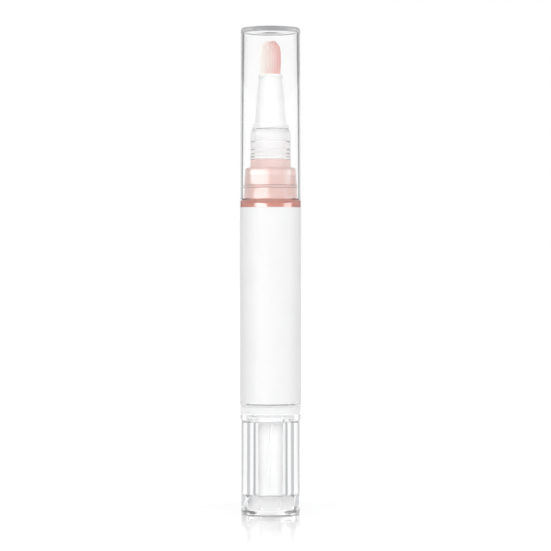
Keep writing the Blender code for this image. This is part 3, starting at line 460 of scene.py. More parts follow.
def round_rings(piece, rings, segments=4):
    """Bevel rings of edges, each given by its radius, its height and its rounding in mm."""
    bpy.ops.object.mode_set(mode="EDIT")
    for radius, height, rounding in rings:
        pick(piece, "EDGE", lambda edge: all(on_ring(corner, radius, height) for corner in edge.verts))
        bpy.ops.mesh.bevel(offset=rounding * MM, segments=segments, affect="EDGES")
    bpy.ops.object.mode_set(mode="OBJECT")


print("steps in a full turn:", RING_STEPS)

# %% [markdown]
# ## Fitting a piece
#
# Each finished piece gets its material, smooth shading with sharp corners, and a body to ride on. The
# Weighted Normal modifier lets the large faces set the shading, so that a long straight wall stays
# straight to the eye beside its small bevels. A moulding can have faces with another finish, such as a
# matt end, and these are picked by their radius, height and direction.

# %% Fitting helpers
SMOOTH_ANGLE = math.radians(28)
FULL_WEIGHT = 100


def take(piece):
    """Select one piece alone and make it the active one."""
    let_go()
    piece.select_set(True)
    bpy.context.view_layer.objects.active = piece


def fit(piece, finish, body, slot, *nodes):
    """Give a piece its material, smooth its shading and let it ride on a body in place of its CAD nodes."""
    take(piece)
    piece.data.materials.clear()
    piece.data.materials.append(finish)
    bpy.ops.object.shade_smooth_by_angle(angle=SMOOTH_ANGLE)
    even = piece.modifiers.new("even_shading", "WEIGHTED_NORMAL")
    even.keep_sharp = True
    even.weight = FULL_WEIGHT
    bpy.ops.object.modifier_apply(modifier=even.name)
    if body:
        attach(piece, body)
    if nodes:
        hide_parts(*nodes)
    height = max(v.co.z for v in piece.data.vertices) - min(v.co.z for v in piece.data.vertices)
    print(f"{piece.name}: {len(piece.data.polygons)} faces, {height / MM:.2f} mm tall")


def other_finish(piece, finish, chosen):
    """Give a second finish to the faces that chosen(radius, height, normal) says yes to, in mm."""
    piece.data.materials.append(finish)
    count = 0
    for face in piece.data.polygons:
        radius = math.hypot(face.center.x, face.center.y) / MM
        if chosen(radius, face.center.z / MM, face.normal):
            face.material_index = len(piece.data.materials) - 1
            count += 1
    print(f"{piece.name}: {count} faces in {finish.name}")


# %% [markdown]
# ## Clear plastic
#
# The cap, barrel, knob and base plug are moulded in SAN, the clear styrene plastic of cosmetic
# packaging. It is hard, colourless and polished by its mould, with an index near 1.57, and in the
# hand it picks up very fine scuffs. The recipe is a fully transmissive shader whose roughness wanders
# between two low values.
#
# The same mouldings have faces that the mould doesn't polish: a shut edge, the slopes of a snap bead,
# the mark of the gate where the plastic flowed in. These are rougher and have a finish of their own,
# with a grey tint that is painted shade and draws them as grey lines. The base plug is thick and a little
# hazy: a share of it is opaque white, and it has a faint painted glow, a little light of its own.

# %% Clear plastics
SAN_INDEX = 1.57
# Patches of scuffs in a metre, across and along the pen: one is about 3 mm wide and 17 mm long.
SCUFFS = (330, 330, 60)


def clear_plastic(name, tint, smooth, scuffed, haze=0.0, painted_glow=0.0):
    """Polished clear moulding. Its scuffs are patches that are stretched along the draw of the mould."""
    finish, tree, shader, place = new_finish(name)
    drawn = add_node(tree, "ShaderNodeMapping", inputs={"Vector": place, "Scale": SCUFFS})
    patches = add_node(tree, "ShaderNodeTexNoise",
                       inputs={"Vector": drawn.outputs[0], "Scale": 1.0, "Detail": 3.0})
    rough = add_node(tree, "ShaderNodeMapRange",
                     inputs={"Value": patches.outputs["Fac"], "From Min": 0.35, "From Max": 0.75,
                             "To Min": smooth, "To Max": scuffed})
    tree.links.new(rough.outputs[0], shader.inputs["Roughness"])
    shader.inputs["Base Color"].default_value = linear(tint)
    shader.inputs["Transmission Weight"].default_value = 1.0 - haze
    # The emission is a painted glow, a little light of its own that no lamp gives.
    shader.inputs["Emission Strength"].default_value = painted_glow
    shader.inputs["IOR"].default_value = SAN_INDEX
    return finish


# The three polished mouldings let the view through with hardly a change.
cap_plastic = clear_plastic("clear_san_cap", "FFFFFF", 0.0, 0.03)
barrel_plastic = clear_plastic("clear_san_barrel", "FFFFFF", 0.0, 0.03)
knob_plastic = clear_plastic("clear_san_knob", "FFFFFF", 0.0, 0.03)
# The thick plug looks like frosted glass, and the upper end of the knob like a breath on glass.
# The plug's emission is a painted glow, a little light that no lamp gives.
plug_plastic = clear_plastic("hazy_san_plug", "FCFCFD", 0.16, 0.26, haze=0.34, painted_glow=0.06)
matt_plastic = clear_plastic("clear_san_matt", "F6F7F8", 0.09, 0.15)
# The bead's slopes, the gate mark and the rounded end of the cap read as soft grey lines; their grey tints
# are painted shade.
edge_plastic = clear_plastic("clear_san_edge", "B4B6B9", 0.20, 0.30)
gate_plastic = clear_plastic("clear_san_gate", "85878A", 0.24, 0.34)
rim_plastic = clear_plastic("clear_san_cap_end", "ECEDEE", 0.28, 0.40)
print("clear plastics:", sum("san" in finish.name for finish in bpy.data.materials))

# %% [markdown]
# ## White plastic
#
# The nozzle and the sleeve are polypropylene, opaque and slightly waxy. The mechanism is acetal, which
# slides well, and the piston is softer polyethylene. All of them have a fine moulded grain that only
# breaks up the highlight, and a colour that drifts a little. Where a white piece is pressed against
# clear plastic, such a face is given a painted glow, a little light of its own, which stands in for the
# light that travels inside the clear wall and leaves it again through the white face.

# %% White plastics
# Patches of colour in a metre: one is about 4.5 mm wide.
CLOUDS = 220
GRAIN_DEPTH = 0.02 * MM
GRAIN_SHARE = 0.02
ROUGHNESS_DRIFT = 0.06


def white_plastic(name, colour, shade, grain_mm, roughness, painted_glow=0.0):
    """Opaque moulding whose colour drifts between two values and whose grain breaks up the highlight."""
    finish, tree, shader, place = new_finish(name)
    cloud = add_node(tree, "ShaderNodeTexNoise", inputs={"Vector": place, "Scale": CLOUDS, "Detail": 2.0})
    tint = add_node(tree, "ShaderNodeMix", {"data_type": "RGBA"},
                    {"Factor": cloud.outputs["Fac"], "A": linear(colour), "B": linear(shade)})
    grain = add_node(tree, "ShaderNodeTexNoise",
                     inputs={"Vector": place, "Scale": 1 / (grain_mm * MM), "Detail": 2.0})
    rough = add_node(tree, "ShaderNodeMapRange",
                     inputs={"Value": grain.outputs["Fac"], "From Min": 0.3, "From Max": 0.7,
                             "To Min": roughness - ROUGHNESS_DRIFT, "To Max": roughness + ROUGHNESS_DRIFT})
    relief = add_node(tree, "ShaderNodeBump", inputs={"Height": grain.outputs["Fac"],
                                                      "Strength": GRAIN_SHARE, "Distance": GRAIN_DEPTH})
    tree.links.new(tint.outputs["Result"], shader.inputs["Base Color"])
    # The emission is a painted glow: a little light of its own, given to faces pressed against clear plastic.
    tree.links.new(tint.outputs["Result"], shader.inputs["Emission Color"])
    shader.inputs["Emission Strength"].default_value = painted_glow
    tree.links.new(rough.outputs[0], shader.inputs["Roughness"])
    tree.links.new(relief.outputs[0], shader.inputs["Normal"])
    return finish


# The grain of a real mould is about 0.02 mm and too fine to show, so it is drawn at 0.10 to 0.20 mm.
nozzle_plastic = white_plastic("white_polypropylene_nozzle", "F8F8F8", "F4F4F5", 0.12, 0.36)
sleeve_film = white_plastic("white_satin_sleeve", "F8F8F8", "F4F4F5", 0.10, 0.34)
ferrule_plastic = white_plastic("white_polished_ferrule", "FAFAFA", "F5F5F6", 0.10, 0.24)
housing_plastic = white_plastic("white_acetal_housing", "F2F2F2", "ECECED", 0.12, 0.40)
drive_plastic = white_plastic("white_acetal_drive_tube", "F6F6F7", "F2F2F3", 0.12, 0.36)
rod_plastic = white_plastic("white_acetal_rod", "F1F1EF", "EBEBE9", 0.12, 0.40)
click_plastic = white_plastic("grey_acetal_click_ring", "DADBDC", "D2D3D5", 0.12, 0.40)
piston_plastic = white_plastic("white_polyethylene_piston", "EAEAE8", "E2E2E0", 0.20, 0.46)
# The spigot and the flange, pressed against a clear wall, get a painted glow: whiter than the rest of their
# mouldings.
glowing_spigot_plastic = white_plastic("white_polypropylene_painted_glow", "FEFEFE", "FBFBFC", 0.12, 0.36, painted_glow=0.15)
glowing_acetal_plastic = white_plastic("white_acetal_painted_glow", "FEFEFE", "FBFBFC", 0.12, 0.40, painted_glow=0.34)
print("materials so far:", len(bpy.data.materials))

# %% [markdown]
# ## The cap
#
# The cap is a long clear tube, closed at the top by a plate with a softly rounded edge and a small
# moulding dimple under it. Its bore narrows a little towards the top so that it leaves its mould.

# %% Cap
CAP_TOP = 126.85
CEILING = 125.65
CAP_MOUTH = 82.00
DIMPLE = 1.95

cap = turn("cap_shell", [
    (0, CAP_TOP), (7.7575, CAP_TOP), (7.7635, 125.50), (7.9575, CAP_MOUTH + 0.2), (7.7575, CAP_MOUTH),
    (7.5075, CAP_MOUTH), (7.3075, CAP_MOUTH + 0.2), (6.9075, CEILING), (DIMPLE, CEILING), (1.60, 125.82),
    (0, 125.95),
])
round_rings(cap, [(7.7575, CAP_TOP, 0.7), (6.9075, CEILING, 0.15)], segments=6)
fit(cap, cap_plastic, "cap_body", "clear_cap", "cap")
# The rounded end and the dimple get grey-tinted finishes: painted shade that draws them as grey lines.
other_finish(cap, rim_plastic, lambda radius, height, normal: height > CEILING and radius > 7.2)
other_finish(cap, gate_plastic,
             lambda radius, height, normal: CEILING + 0.01 < height < 126.1 and radius < DIMPLE)

# %% [markdown]
# ## The barrel
#
# One clear moulding makes the foot, the recess for the white sleeve, the shoulder, the cap's seat with
# its snap bead, and the neck. The profile goes up the outside and comes down the bore, with the groove
# that the nut housing snaps into.

# %% Barrel
BORE = 6.60
OUTSIDE = 7.95
FOOT_END = 24.20
SEAT = 81.90
SEAT_TOP = 90.30
NECK = 5.36

barrel = turn("barrel_shell", [
    (BORE, FOOT_END), (OUTSIDE, FOOT_END), (OUTSIDE, 28.75), (7.75, 28.75), (7.75, 80.00), (OUTSIDE, 80.00),
    (OUTSIDE, SEAT), (7.06, SEAT), (6.9075, 84.95), (7.1275, 85.17), (7.1275, 85.58), (6.9075, 85.80),
    (6.64, SEAT_TOP), (NECK, SEAT_TOP), (NECK, 99.30), (4.76, 100.50), (4.20, 100.50), (4.20, 89.84),
    (5.64, 88.40), (5.64, 81.96), (BORE, 81.00), (BORE, 28.15), (6.80, 27.90), (6.80, 26.70), (BORE, 26.45),
])
round_rings(barrel, [(OUTSIDE, FOOT_END, 0.45), (OUTSIDE, SEAT, 0.20), (6.64, SEAT_TOP, 0.45),
                     (NECK, 99.30, 0.30)])
round_rings(barrel, [(7.06, SEAT, 0.15), (NECK, SEAT_TOP, 0.12)], segments=3)
fit(barrel, barrel_plastic, "barrel_body", "clear_barrel", "barrel")
# The bead's slopes get the grey-tinted edge finish: painted shade that draws them as grey lines.
other_finish(barrel, edge_plastic,
             lambda radius, height, normal: 84.9 < height < 85.85 and abs(normal.z) > 0.4)

# %% [markdown]
# ## The white sleeve
#
# A thin white sleeve sits in the barrel's recess and hides the feed mechanism.

# %% Sleeve
SLEEVE_FOOT = 28.80
SLEEVE_TOP = 79.95

sleeve = turn("sleeve_band", [
    (7.80, SLEEVE_FOOT), (8.00, SLEEVE_FOOT), (8.00, SLEEVE_TOP), (7.80, SLEEVE_TOP),
])
round_rings(sleeve, [(8.00, SLEEVE_FOOT, 0.06), (8.00, SLEEVE_TOP, 0.06)], segments=2)
fit(sleeve, sleeve_film, "barrel_body", "white_sleeve", "white_sleeve")

# %% [markdown]
# ## The nozzle and its ferrule
#
# The white nozzle plugs the neck with a ribbed spigot, rests on it with a thin flange and rises as a
# slender cone. Its ribs press into the clear wall, and where they touch it they show through as if
# they filled it, with bright rings of air between them; the ribs' faces have a painted glow that makes
# them whiter. The ferrule is the small bright cup at the tip that holds the bristles.

# %% Nozzle
GROOVES = (93.10, 93.90, 95.00, 97.10)
SPIGOT = 4.215
SPIGOT_TOP = 100.20

spigot = []
for groove in GROOVES:
    spigot += [(SPIGOT, groove - 0.15), (4.05, groove - 0.05), (4.05, groove + 0.05), (SPIGOT, groove + 0.15)]
nozzle = turn("nozzle_cone", [(3.05, 92.45), (4.05, 92.45), (SPIGOT, 92.65)] + spigot + [
    (SPIGOT, SPIGOT_TOP), (3.95, 100.30), (3.95, 100.55), (4.76, 100.55), (4.76, 101.70), (4.13, 101.70),
    (3.95, 103.6), (3.74, 106.2), (3.52, 109.0), (3.10, 113.80), (2.85, 113.80), (2.85, 111.60),
    (0.60, 111.60), (0.60, 107.60), (3.05, 103.60),
])
round_rings(nozzle, [(4.76, 101.70, 0.25), (4.76, 100.55, 0.10)], segments=3)
fit(nozzle, nozzle_plastic, "barrel_body", "white_nozzle", "nozzle")
# The ribs' faces get the finish with a painted glow.
other_finish(nozzle, glowing_spigot_plastic, lambda radius, height, normal: height < 100.5 and radius > 4.19)

# %% Ferrule
ferrule = turn("ferrule_cup", [
    (0.60, 111.65), (2.80, 111.65), (2.80, 113.85), (3.10, 113.85), (3.10, 114.75), (2.50, 114.75),
    (2.50, 112.25), (0.60, 112.25),
])
round_rings(ferrule, [(3.10, 114.75, 0.16), (3.10, 113.85, 0.08)], segments=3)
fit(ferrule, ferrule_plastic, "barrel_body", "white_ferrule", "brush_ferrule")

# %% [markdown]
# ## The bristles
#
# The brush is a round bundle of nylon filaments about 0.15 mm thick, swollen a little by the gel and
# trimmed to a soft dome. One filament is modelled: a five-sided cylinder, extruded upwards in steps
# and narrowed at its tip. It is then copied to each place of a close packing, and each copy is combed
# along its own line, out to the belly of the tuft and in again at the tip.

# %% One filament
STRAND_SIDES = 5
STRAND_STEPS = 7
STRAND_RADIUS = 0.078
STRAND_TIP = 0.45
UPWARD = 0.9

let_go()
bpy.ops.mesh.primitive_cylinder_add(vertices=STRAND_SIDES, radius=STRAND_RADIUS * MM, depth=MM,
                                    location=(0, 0, 0))
strand = bpy.context.object
strand.name = strand.data.name = "filament"
bpy.ops.object.mode_set(mode="EDIT")
pick(strand, "FACE", lambda face: face.normal.z > UPWARD)
for step in range(STRAND_STEPS - 1):
    bpy.ops.mesh.extrude_region_move(TRANSFORM_OT_translate={"value": (0, 0, MM)})
bpy.ops.transform.resize(value=(STRAND_TIP, STRAND_TIP, 1))
bpy.ops.object.mode_set(mode="OBJECT")
template = np.array([v.co for v in strand.data.vertices], float)
foot = template[:, 2].min()
template[:, 2] = (template[:, 2] - foot) / (template[:, 2].max() - foot)
print("one filament:", len(strand.data.polygons), "faces")

# %% Comb one copy
ROOT_LEVEL = 112.90
COLLAR_LEVEL = 114.0
TUFT_RADIUS = 2.38
TUFT_TIP = 123.50
LEAN = 0.35
DOME = 2.3
DOME_REACH = 0.92
BELLY = 0.15
BELLY_REACH = 1.12
GATHER = 0.10
GATHER_FROM = 0.72
DRIFT = 0.05


def comb(root_x, root_y, draw):
    """Points of one filament, combed from its root. Draw gives the small accidents of a real tuft."""
    share = min(1.0, math.hypot(root_x, root_y) / TUFT_RADIUS)
    lean = LEAN * root_x / TUFT_RADIUS
    tip = TUFT_TIP - DOME * (1 - math.sqrt(1 - DOME_REACH * share ** 2)) + 0.25 * lean + 0.10 * draw[0]
    level = ROOT_LEVEL + (tip - ROOT_LEVEL) * template[:, 2]
    free = np.clip((level - COLLAR_LEVEL) / (TUFT_TIP - COLLAR_LEVEL), 0, 1)
    belly = 1 + BELLY * np.sin(np.pi * np.clip(free * BELLY_REACH, 0, 1))
    belly -= GATHER * share ** 2 * np.clip(free - GATHER_FROM, 0, 1) / (1 - GATHER_FROM)
    drift = DRIFT * free * np.array([[draw[1]], [draw[2]]])
    thick = 1 + 0.12 * draw[3]
    x = root_x * belly + drift[0] + template[:, 0] / MM * thick
    y = root_y * belly + drift[1] + template[:, 1] / MM * thick
    return np.stack([x, y, level], 1) * MM


print("free length of the bristles:", round(TUFT_TIP - COLLAR_LEVEL, 2), "mm")

# %% Copy the filament into a tuft
TUFT_PITCH = 0.165
TUFT_HOLLOW = 0.65
TUFT_SEED = 7

accidents = np.random.default_rng(TUFT_SEED)
row_step = TUFT_PITCH * math.sqrt(3) / 2
rows = math.ceil(TUFT_RADIUS / row_step)
columns = math.ceil(2 * TUFT_RADIUS / TUFT_PITCH)
copies = []
for row in range(-rows, rows + 1):
    for column in range(-columns, columns + 1):
        root_x = TUFT_PITCH * (column + (row % 2) / 2)
        root_y = row_step * row
        if not TUFT_HOLLOW < math.hypot(root_x, root_y) < TUFT_RADIUS:
            continue
        copy = strand.copy()
        copy.data = strand.data.copy()
        bpy.context.collection.objects.link(copy)
        draw = accidents.normal(size=4).clip(-2, 2)
        copy.data.vertices.foreach_set("co", comb(root_x, root_y, draw).ravel())
        copies.append(copy)
print("filaments:", len(copies))

# %% Join the tuft to its root plate
tuft = turn("bristle_bundle", [(0.60, 112.30), (2.45, 112.30), (2.45, 113.30), (0.60, 113.30)], steps=48)
take(tuft)
for copy in copies:
    copy.select_set(True)
bpy.ops.object.join()
bpy.data.objects.remove(strand)
print("tuft:", len(tuft.data.polygons), "faces")

# %% [markdown]
# ## The nylon of the bristles
#
# The filaments are cream nylon, wetted by pink gel. Groups of them hold more gel than others, so the
# colour runs in fine streaks along their length. A painted highlight also makes the tuft's left side paler.

# %% Bristle material
# Streaks in a metre, across and along the bristles: one is about three filaments wide.
STREAKS = (2300, 2300, 70)
TUFT_LEFT = -2.6 * MM
TUFT_RIGHT = 2.4 * MM

nylon, tree, shader, place = new_finish("gel_wetted_nylon")
along = add_node(tree, "ShaderNodeMapping", inputs={"Vector": place, "Scale": STREAKS})
streaks = add_node(tree, "ShaderNodeTexNoise",
                   inputs={"Vector": along.outputs[0], "Scale": 1.0, "Detail": 3.0})
axes = add_node(tree, "ShaderNodeSeparateXYZ", inputs={0: place}).outputs
# Painted highlight: the colour is pushed towards pale cream on the tuft's left and pink on its right, as if
# lit from the left.
side = add_node(tree, "ShaderNodeMapRange", inputs={"Value": axes["X"], "From Min": TUFT_LEFT,
                                                    "From Max": TUFT_RIGHT, "To Min": -0.36, "To Max": 0.34})
soaked_and_lit = add_node(tree, "ShaderNodeMath", {"operation": "ADD"},
                  {0: streaks.outputs["Fac"], 1: side.outputs[0]})
colour = add_node(tree, "ShaderNodeValToRGB", inputs={"Fac": soaked_and_lit.outputs[0]})
dry_and_lit, wet = colour.color_ramp.elements
dry_and_lit.position, wet.position = 0.28, 0.80
dry_and_lit.color = linear("FFFAF4")
wet.color = linear("F5C8C3")
tree.links.new(colour.outputs["Color"], shader.inputs["Base Color"])
shader.inputs["Roughness"].default_value = 0.42
fit(tuft, nylon, "barrel_body", "pink_bristle", "brush_tuft")

# %% [markdown]
# ## The gel
#
# The gel fills the chamber above the piston, the shoulder, the cap's seat and the neck. It is one body
# of liquid, so it is one piece here, with nothing but a straight wall between its lower end on the
# piston and its upper part. It wets the plastic, and so it reaches a hair into the clear wall, which is
# what makes the shader bend light from plastic to liquid instead of through a film of air.

# %% Gel body
WET = 0.02
GEL_FOOT = 50.95

gel = turn("gel_fill", [
    (0, GEL_FOOT), (BORE + WET, GEL_FOOT), (BORE + WET, 81.02), (5.64 + WET, 81.96), (5.64 + WET, 88.38),
    (4.20 + WET, 89.84), (4.20 + WET, 92.40), (3.00, 92.40), (3.00, 103.55), (0.55, 107.50), (0, 107.50),
])
print("gel:", len(gel.data.polygons), "faces")

# %% Gel material
# The gel is deeper in colour where its layer is wide, below the seat, and paler above. Its index is the
# small step from plastic to gel. A painted glow, stronger above the seat, stands in for light scattered in
# it.
GEL_INDEX = 1.03
# Swirls in a metre: one is a little under 4 mm wide.
SWIRLS = 260
PALE_FROM = 81.2 * MM
PALE_TO = 82.6 * MM

gel_finish, tree, shader, place = new_finish("pink_builder_gel")
axes = add_node(tree, "ShaderNodeSeparateXYZ", inputs={0: place}).outputs
swirl = add_node(tree, "ShaderNodeTexNoise", inputs={"Vector": place, "Scale": SWIRLS,
                                                     "Detail": 2.0, "Distortion": 0.6}).outputs["Fac"]
level = add_node(tree, "ShaderNodeMapRange",
                 inputs={"Value": axes["Z"], "From Min": PALE_FROM, "From Max": PALE_TO})
deep = add_node(tree, "ShaderNodeMix", {"data_type": "RGBA"},
                {"Factor": swirl, "A": linear("FDBCAE"), "B": linear("F8AC9D")})
pale = add_node(tree, "ShaderNodeMix", {"data_type": "RGBA"},
                {"Factor": swirl, "A": linear("FFEBE6"), "B": linear("FEE2DB")})
tone = add_node(tree, "ShaderNodeMix", {"data_type": "RGBA"},
                {"Factor": level.outputs[0], "A": deep.outputs["Result"], "B": pale.outputs["Result"]})
rough = add_node(tree, "ShaderNodeMapRange", inputs={"Value": swirl, "To Min": 0.10, "To Max": 0.22})
painted_glow = add_node(tree, "ShaderNodeMapRange",
                   inputs={"Value": axes["Z"], "From Min": PALE_FROM, "From Max": PALE_TO,
                           "To Min": 0.03, "To Max": 0.07})
tree.links.new(tone.outputs["Result"], shader.inputs["Base Color"])
tree.links.new(rough.outputs[0], shader.inputs["Roughness"])
tree.links.new(painted_glow.outputs[0], shader.inputs["Emission Strength"])
shader.inputs["Emission Color"].default_value = linear("FF9C8C")
shader.inputs["IOR"].default_value = GEL_INDEX
fit(gel, gel_finish, None, "pink_gel", "gel_neck", "gel_chamber")
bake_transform(gel)

# %% [markdown]
# ## The base plug
#
# The knob is a thick clear tube. Its open foot takes a clear plug with a round flange and an
# eight-sided crown, whose domed top leaves an arch on each side. The crown is an eight-sided cylinder
# cut to shape by a turned dome, and the same tool, grown by a hair, cuts the pocket in the knob later.
# An exact Boolean can leave seams whose two sides all but meet, so each cut ends by welding them.

# %% Cutting helpers
CUT_LIMIT = 0.0001 * MM


def open_mesh(piece):
    """Enter edit mode on one piece with all of it selected."""
    take(piece)
    bpy.ops.object.mode_set(mode="EDIT")
    bpy.ops.mesh.select_all(action="SELECT")


def cut(piece, tool, operation):
    """Apply one exact Boolean to a piece, remove the tool and weld the seams that the cut leaves."""
    take(piece)
    change = piece.modifiers.new(operation.lower(), "BOOLEAN")
    change.operation = operation
    change.solver = "EXACT"
    change.object = tool
    bpy.ops.object.modifier_apply(modifier=change.name)
    bpy.data.objects.remove(tool)
    open_mesh(piece)
    bpy.ops.mesh.remove_doubles(threshold=CUT_LIMIT)
    bpy.ops.object.mode_set(mode="OBJECT")


def trim(piece, point, outward):
    """Slice off all that lies beyond a plane, given by a point in mm and the way out, and close the cut."""
    open_mesh(piece)
    bpy.ops.mesh.bisect(plane_co=[value * MM for value in point], plane_no=outward,
                        clear_outer=True, use_fill=True, threshold=CUT_LIMIT)
    bpy.ops.object.mode_set(mode="OBJECT")


def flatten(piece, half_flat):
    """Cut two flats on a round piece, at half_flat mm in front of its axis and behind it."""
    for side in (-1, 1):
        trim(piece, (0, side * half_flat, 0), (0, side, 0))


def block(size, place, turned=0.0):
    """A box of a size in mm at a place in mm, turned round its own upright axis."""
    let_go()
    bpy.ops.mesh.primitive_cube_add(size=1, location=[value * MM for value in place],
                                    rotation=(0, 0, turned), scale=[value * MM for value in size])
    bpy.ops.object.transform_apply(location=True, rotation=True, scale=True)
    return bpy.context.object


print("cuts are welded within", CUT_LIMIT / MM, "mm")

# %% Crown
CROWN_SIDES = 8
CROWN_RADIUS = 5.36
CROWN_TOP = 5.00
CROWN_FOOT = 0.70
HALF_SIDE = math.pi / CROWN_SIDES


def crown(name, grown):
    """The eight-sided crown with its domed top, grown all round by a gap in mm."""
    radius = CROWN_RADIUS + grown / math.cos(HALF_SIDE)
    top = CROWN_TOP + grown
    let_go()
    bpy.ops.mesh.primitive_cylinder_add(vertices=CROWN_SIDES, radius=radius * MM,
                                        depth=(top + 1 - CROWN_FOOT) * MM,
                                        location=(0, 0, (top + 1 + CROWN_FOOT) / 2 * MM))
    body = bpy.context.object
    body.name = body.data.name = name
    open_mesh(body)
    bpy.ops.transform.rotate(value=HALF_SIDE, orient_axis="Z", center_override=(0, 0, 0))
    bpy.ops.object.mode_set(mode="OBJECT")
    bpy.ops.object.transform_apply(location=True, rotation=True, scale=True)
    rim = radius + 0.05
    arch = [(rim - 0.6 + 0.6 * math.cos(a), top - 1.4 + 1.4 * math.sin(a))
            for a in (math.radians(10 * i) for i in range(10))]
    dome = turn(name + "_dome", [(0, CROWN_FOOT - 1), (rim, CROWN_FOOT - 1)] + arch + [(0, top)])
    cut(body, dome, "INTERSECT")
    return body


def upright(edge):
    """Whether an edge stands upright and is longer than 1 mm, as the crown's eight corners are."""
    low, high = sorted((end.co for end in edge.verts), key=lambda place: place.z)
    return math.hypot(high.x - low.x, high.y - low.y) < NEAR and high.z - low.z > MM


plug_crown = crown("plug_crown", 0)
bpy.ops.object.mode_set(mode="EDIT")
pick(plug_crown, "EDGE", upright)
bpy.ops.mesh.bevel(offset=0.22 * MM, segments=2, affect="EDGES")
bpy.ops.object.mode_set(mode="OBJECT")
print("crown:", len(plug_crown.data.polygons), "faces")

# %% Base plug
FLANGE = 6.00
FLANGE_TOP = 1.40
PLUG_FOOT = 0.03

plug = turn("plug_moulding", [(0, PLUG_FOOT), (FLANGE, PLUG_FOOT), (FLANGE, FLANGE_TOP), (0, FLANGE_TOP)])
round_rings(plug, [(FLANGE, PLUG_FOOT, 0.15)], segments=3)
cut(plug, plug_crown, "UNION")
socket = turn("plug_socket", [(0, 3.60), (3.30, 3.60), (3.30, 6.00), (0, 6.00)])
flatten(socket, 2.85)
cut(plug, socket, "DIFFERENCE")


def polished(radius, height, normal):
    """The plug's flange and the eight bevels of its crown, which stay clear."""
    off_corner = abs(math.degrees(math.atan2(normal.y, normal.x)) % (360 / CROWN_SIDES) - 180 / CROWN_SIDES)
    bevel = abs(normal.z) < 0.2 and off_corner < 14
    return height < FLANGE_TOP - 0.01 or (bevel and height > FLANGE_TOP + 0.01)


fit(plug, plug_plastic, "knob_body", "clear_plug", "base_plug")
other_finish(plug, knob_plastic, polished)

# %% [markdown]
# ## The knob
#
# The knob is one thick turned tube with the crown's pocket and the flange's seat cut into its foot. Its
# upper end, which turns inside the barrel, is left matt by the mould. The pocket's roof lies on the
# hazy plug and is as hazy as the plug is, with the same painted glow.

# %% Knob
KNOB_BORE = 3.93
KNOB_RADIUS = 7.66
KNOB_SHOULDER = 24.05
KNOB_TOP = 25.55

knob = turn("knob_shell", [
    (KNOB_BORE, 0), (KNOB_RADIUS, 0), (KNOB_RADIUS, KNOB_SHOULDER), (6.40, KNOB_SHOULDER), (6.40, KNOB_TOP),
    (KNOB_BORE, KNOB_TOP),
])
round_rings(knob, [(KNOB_RADIUS, 0, 0.35), (KNOB_RADIUS, KNOB_SHOULDER, 0.15)], segments=4)
pocket = crown("pocket", 0.05)
flange_seat = turn("plug_seat", [(0, -0.5), (6.05, -0.5), (6.05, 1.45), (0, 1.45)])
cut(pocket, flange_seat, "UNION")
cut(knob, pocket, "DIFFERENCE")
fit(knob, knob_plastic, "knob_body", "clear_knob", "knob")
other_finish(knob, matt_plastic, lambda radius, height, normal: height > KNOB_SHOULDER + 0.05)
# The pocket's roof gets the hazy plug's finish, painted glow included.
other_finish(knob, plug_plastic, lambda radius, height, normal: 3.4 < height < 5.07 and normal.z < -0.2)

# %% [markdown]
# ## The drive tube
#
# The white drive tube stands in the plug and turns with the knob. It has a key way for the rod, flats
# at its foot that key it to the plug, and flats higher up for the click ring, with a snap collar over
# them. From the knob's shoulder up it stands close behind the barrel's foot and is given a painted glow
# that makes it whiter, so its profile has a corner there. A fine groove down its front is the parting
# line of its mould, cut a little deeper than the real one so that it shows through the knob.

# %% Drive tube
DRIVE = 3.25
DRIVE_FOOT = 3.70
DRIVE_TOP = 38.90
COLLAR = 3.65
WHITER_FROM = 24.00
FOOT_FLATS = (2.80, 3.00, 5.10)
CLICK_FLATS = (3.00, 26.00, 27.60)

drive = turn("drive_column", [
    (0, DRIVE_FOOT), (DRIVE, DRIVE_FOOT), (DRIVE, KNOB_SHOULDER), (DRIVE, 28.70), (COLLAR, 28.70),
    (COLLAR, 29.20), (DRIVE, 30.30), (DRIVE, DRIVE_TOP), (0, DRIVE_TOP),
])
round_rings(drive, [(DRIVE, DRIVE_TOP, 0.15), (COLLAR, 29.20, 0.08)], segments=3)
rod_way = turn("rod_way", [(0, 3.00), (2.30, 3.00), (2.30, 40.00), (0, 40.00)], steps=64)
flatten(rod_way, 1.70)
cut(drive, rod_way, "DIFFERENCE")
for half_flat, bottom, top in (FOOT_FLATS, CLICK_FLATS):
    for side in (-1, 1):
        cut(drive, block((7.4, 1.0, top - bottom), (0, side * (half_flat + 0.5), (bottom + top) / 2)),
            "DIFFERENCE")
print("drive tube:", len(drive.data.polygons), "faces")

# %% Parting line of the drive tube
PARTING_SIDE = 0.8
PARTING_DEPTH = 0.16
PARTING_ASIDE = -0.12
PARTING_LENGTH = 20.0
PARTING_MIDDLE = 14.0

groove_place = (PARTING_ASIDE, -DRIVE - PARTING_SIDE / math.sqrt(2) + PARTING_DEPTH, PARTING_MIDDLE)
groove = block((PARTING_SIDE, PARTING_SIDE, PARTING_LENGTH), groove_place, turned=math.radians(45))
cut(drive, groove, "DIFFERENCE")
fit(drive, drive_plastic, "knob_body", "white_drive", "drive_tube")
# From the knob's shoulder up the tube gets the finish with a painted glow, to look whiter.
other_finish(drive, glowing_acetal_plastic, lambda radius, height, normal: height > WHITER_FROM and radius > 3.0)

# %% [markdown]
# ## The nut housing
#
# Behind the clear foot of the barrel stands the white flange of the nut housing, with its snap rib.
# Above it a tube with four fins holds the fixed nut. The ratchet for the click ring is a ring of saw
# teeth inside the flange: a cylinder with twice as many sides as teeth, whose every second corner is
# drawn in and turned towards its neighbour, cuts all the gaps at once.

# %% Nut housing
RATCHET_TEETH = 24
CREST = 5.05
ROOT = 5.60
TOOTH_SLOPE = 0.15
TOOTH_STEP = math.pi / RATCHET_TEETH
RIB = 6.61

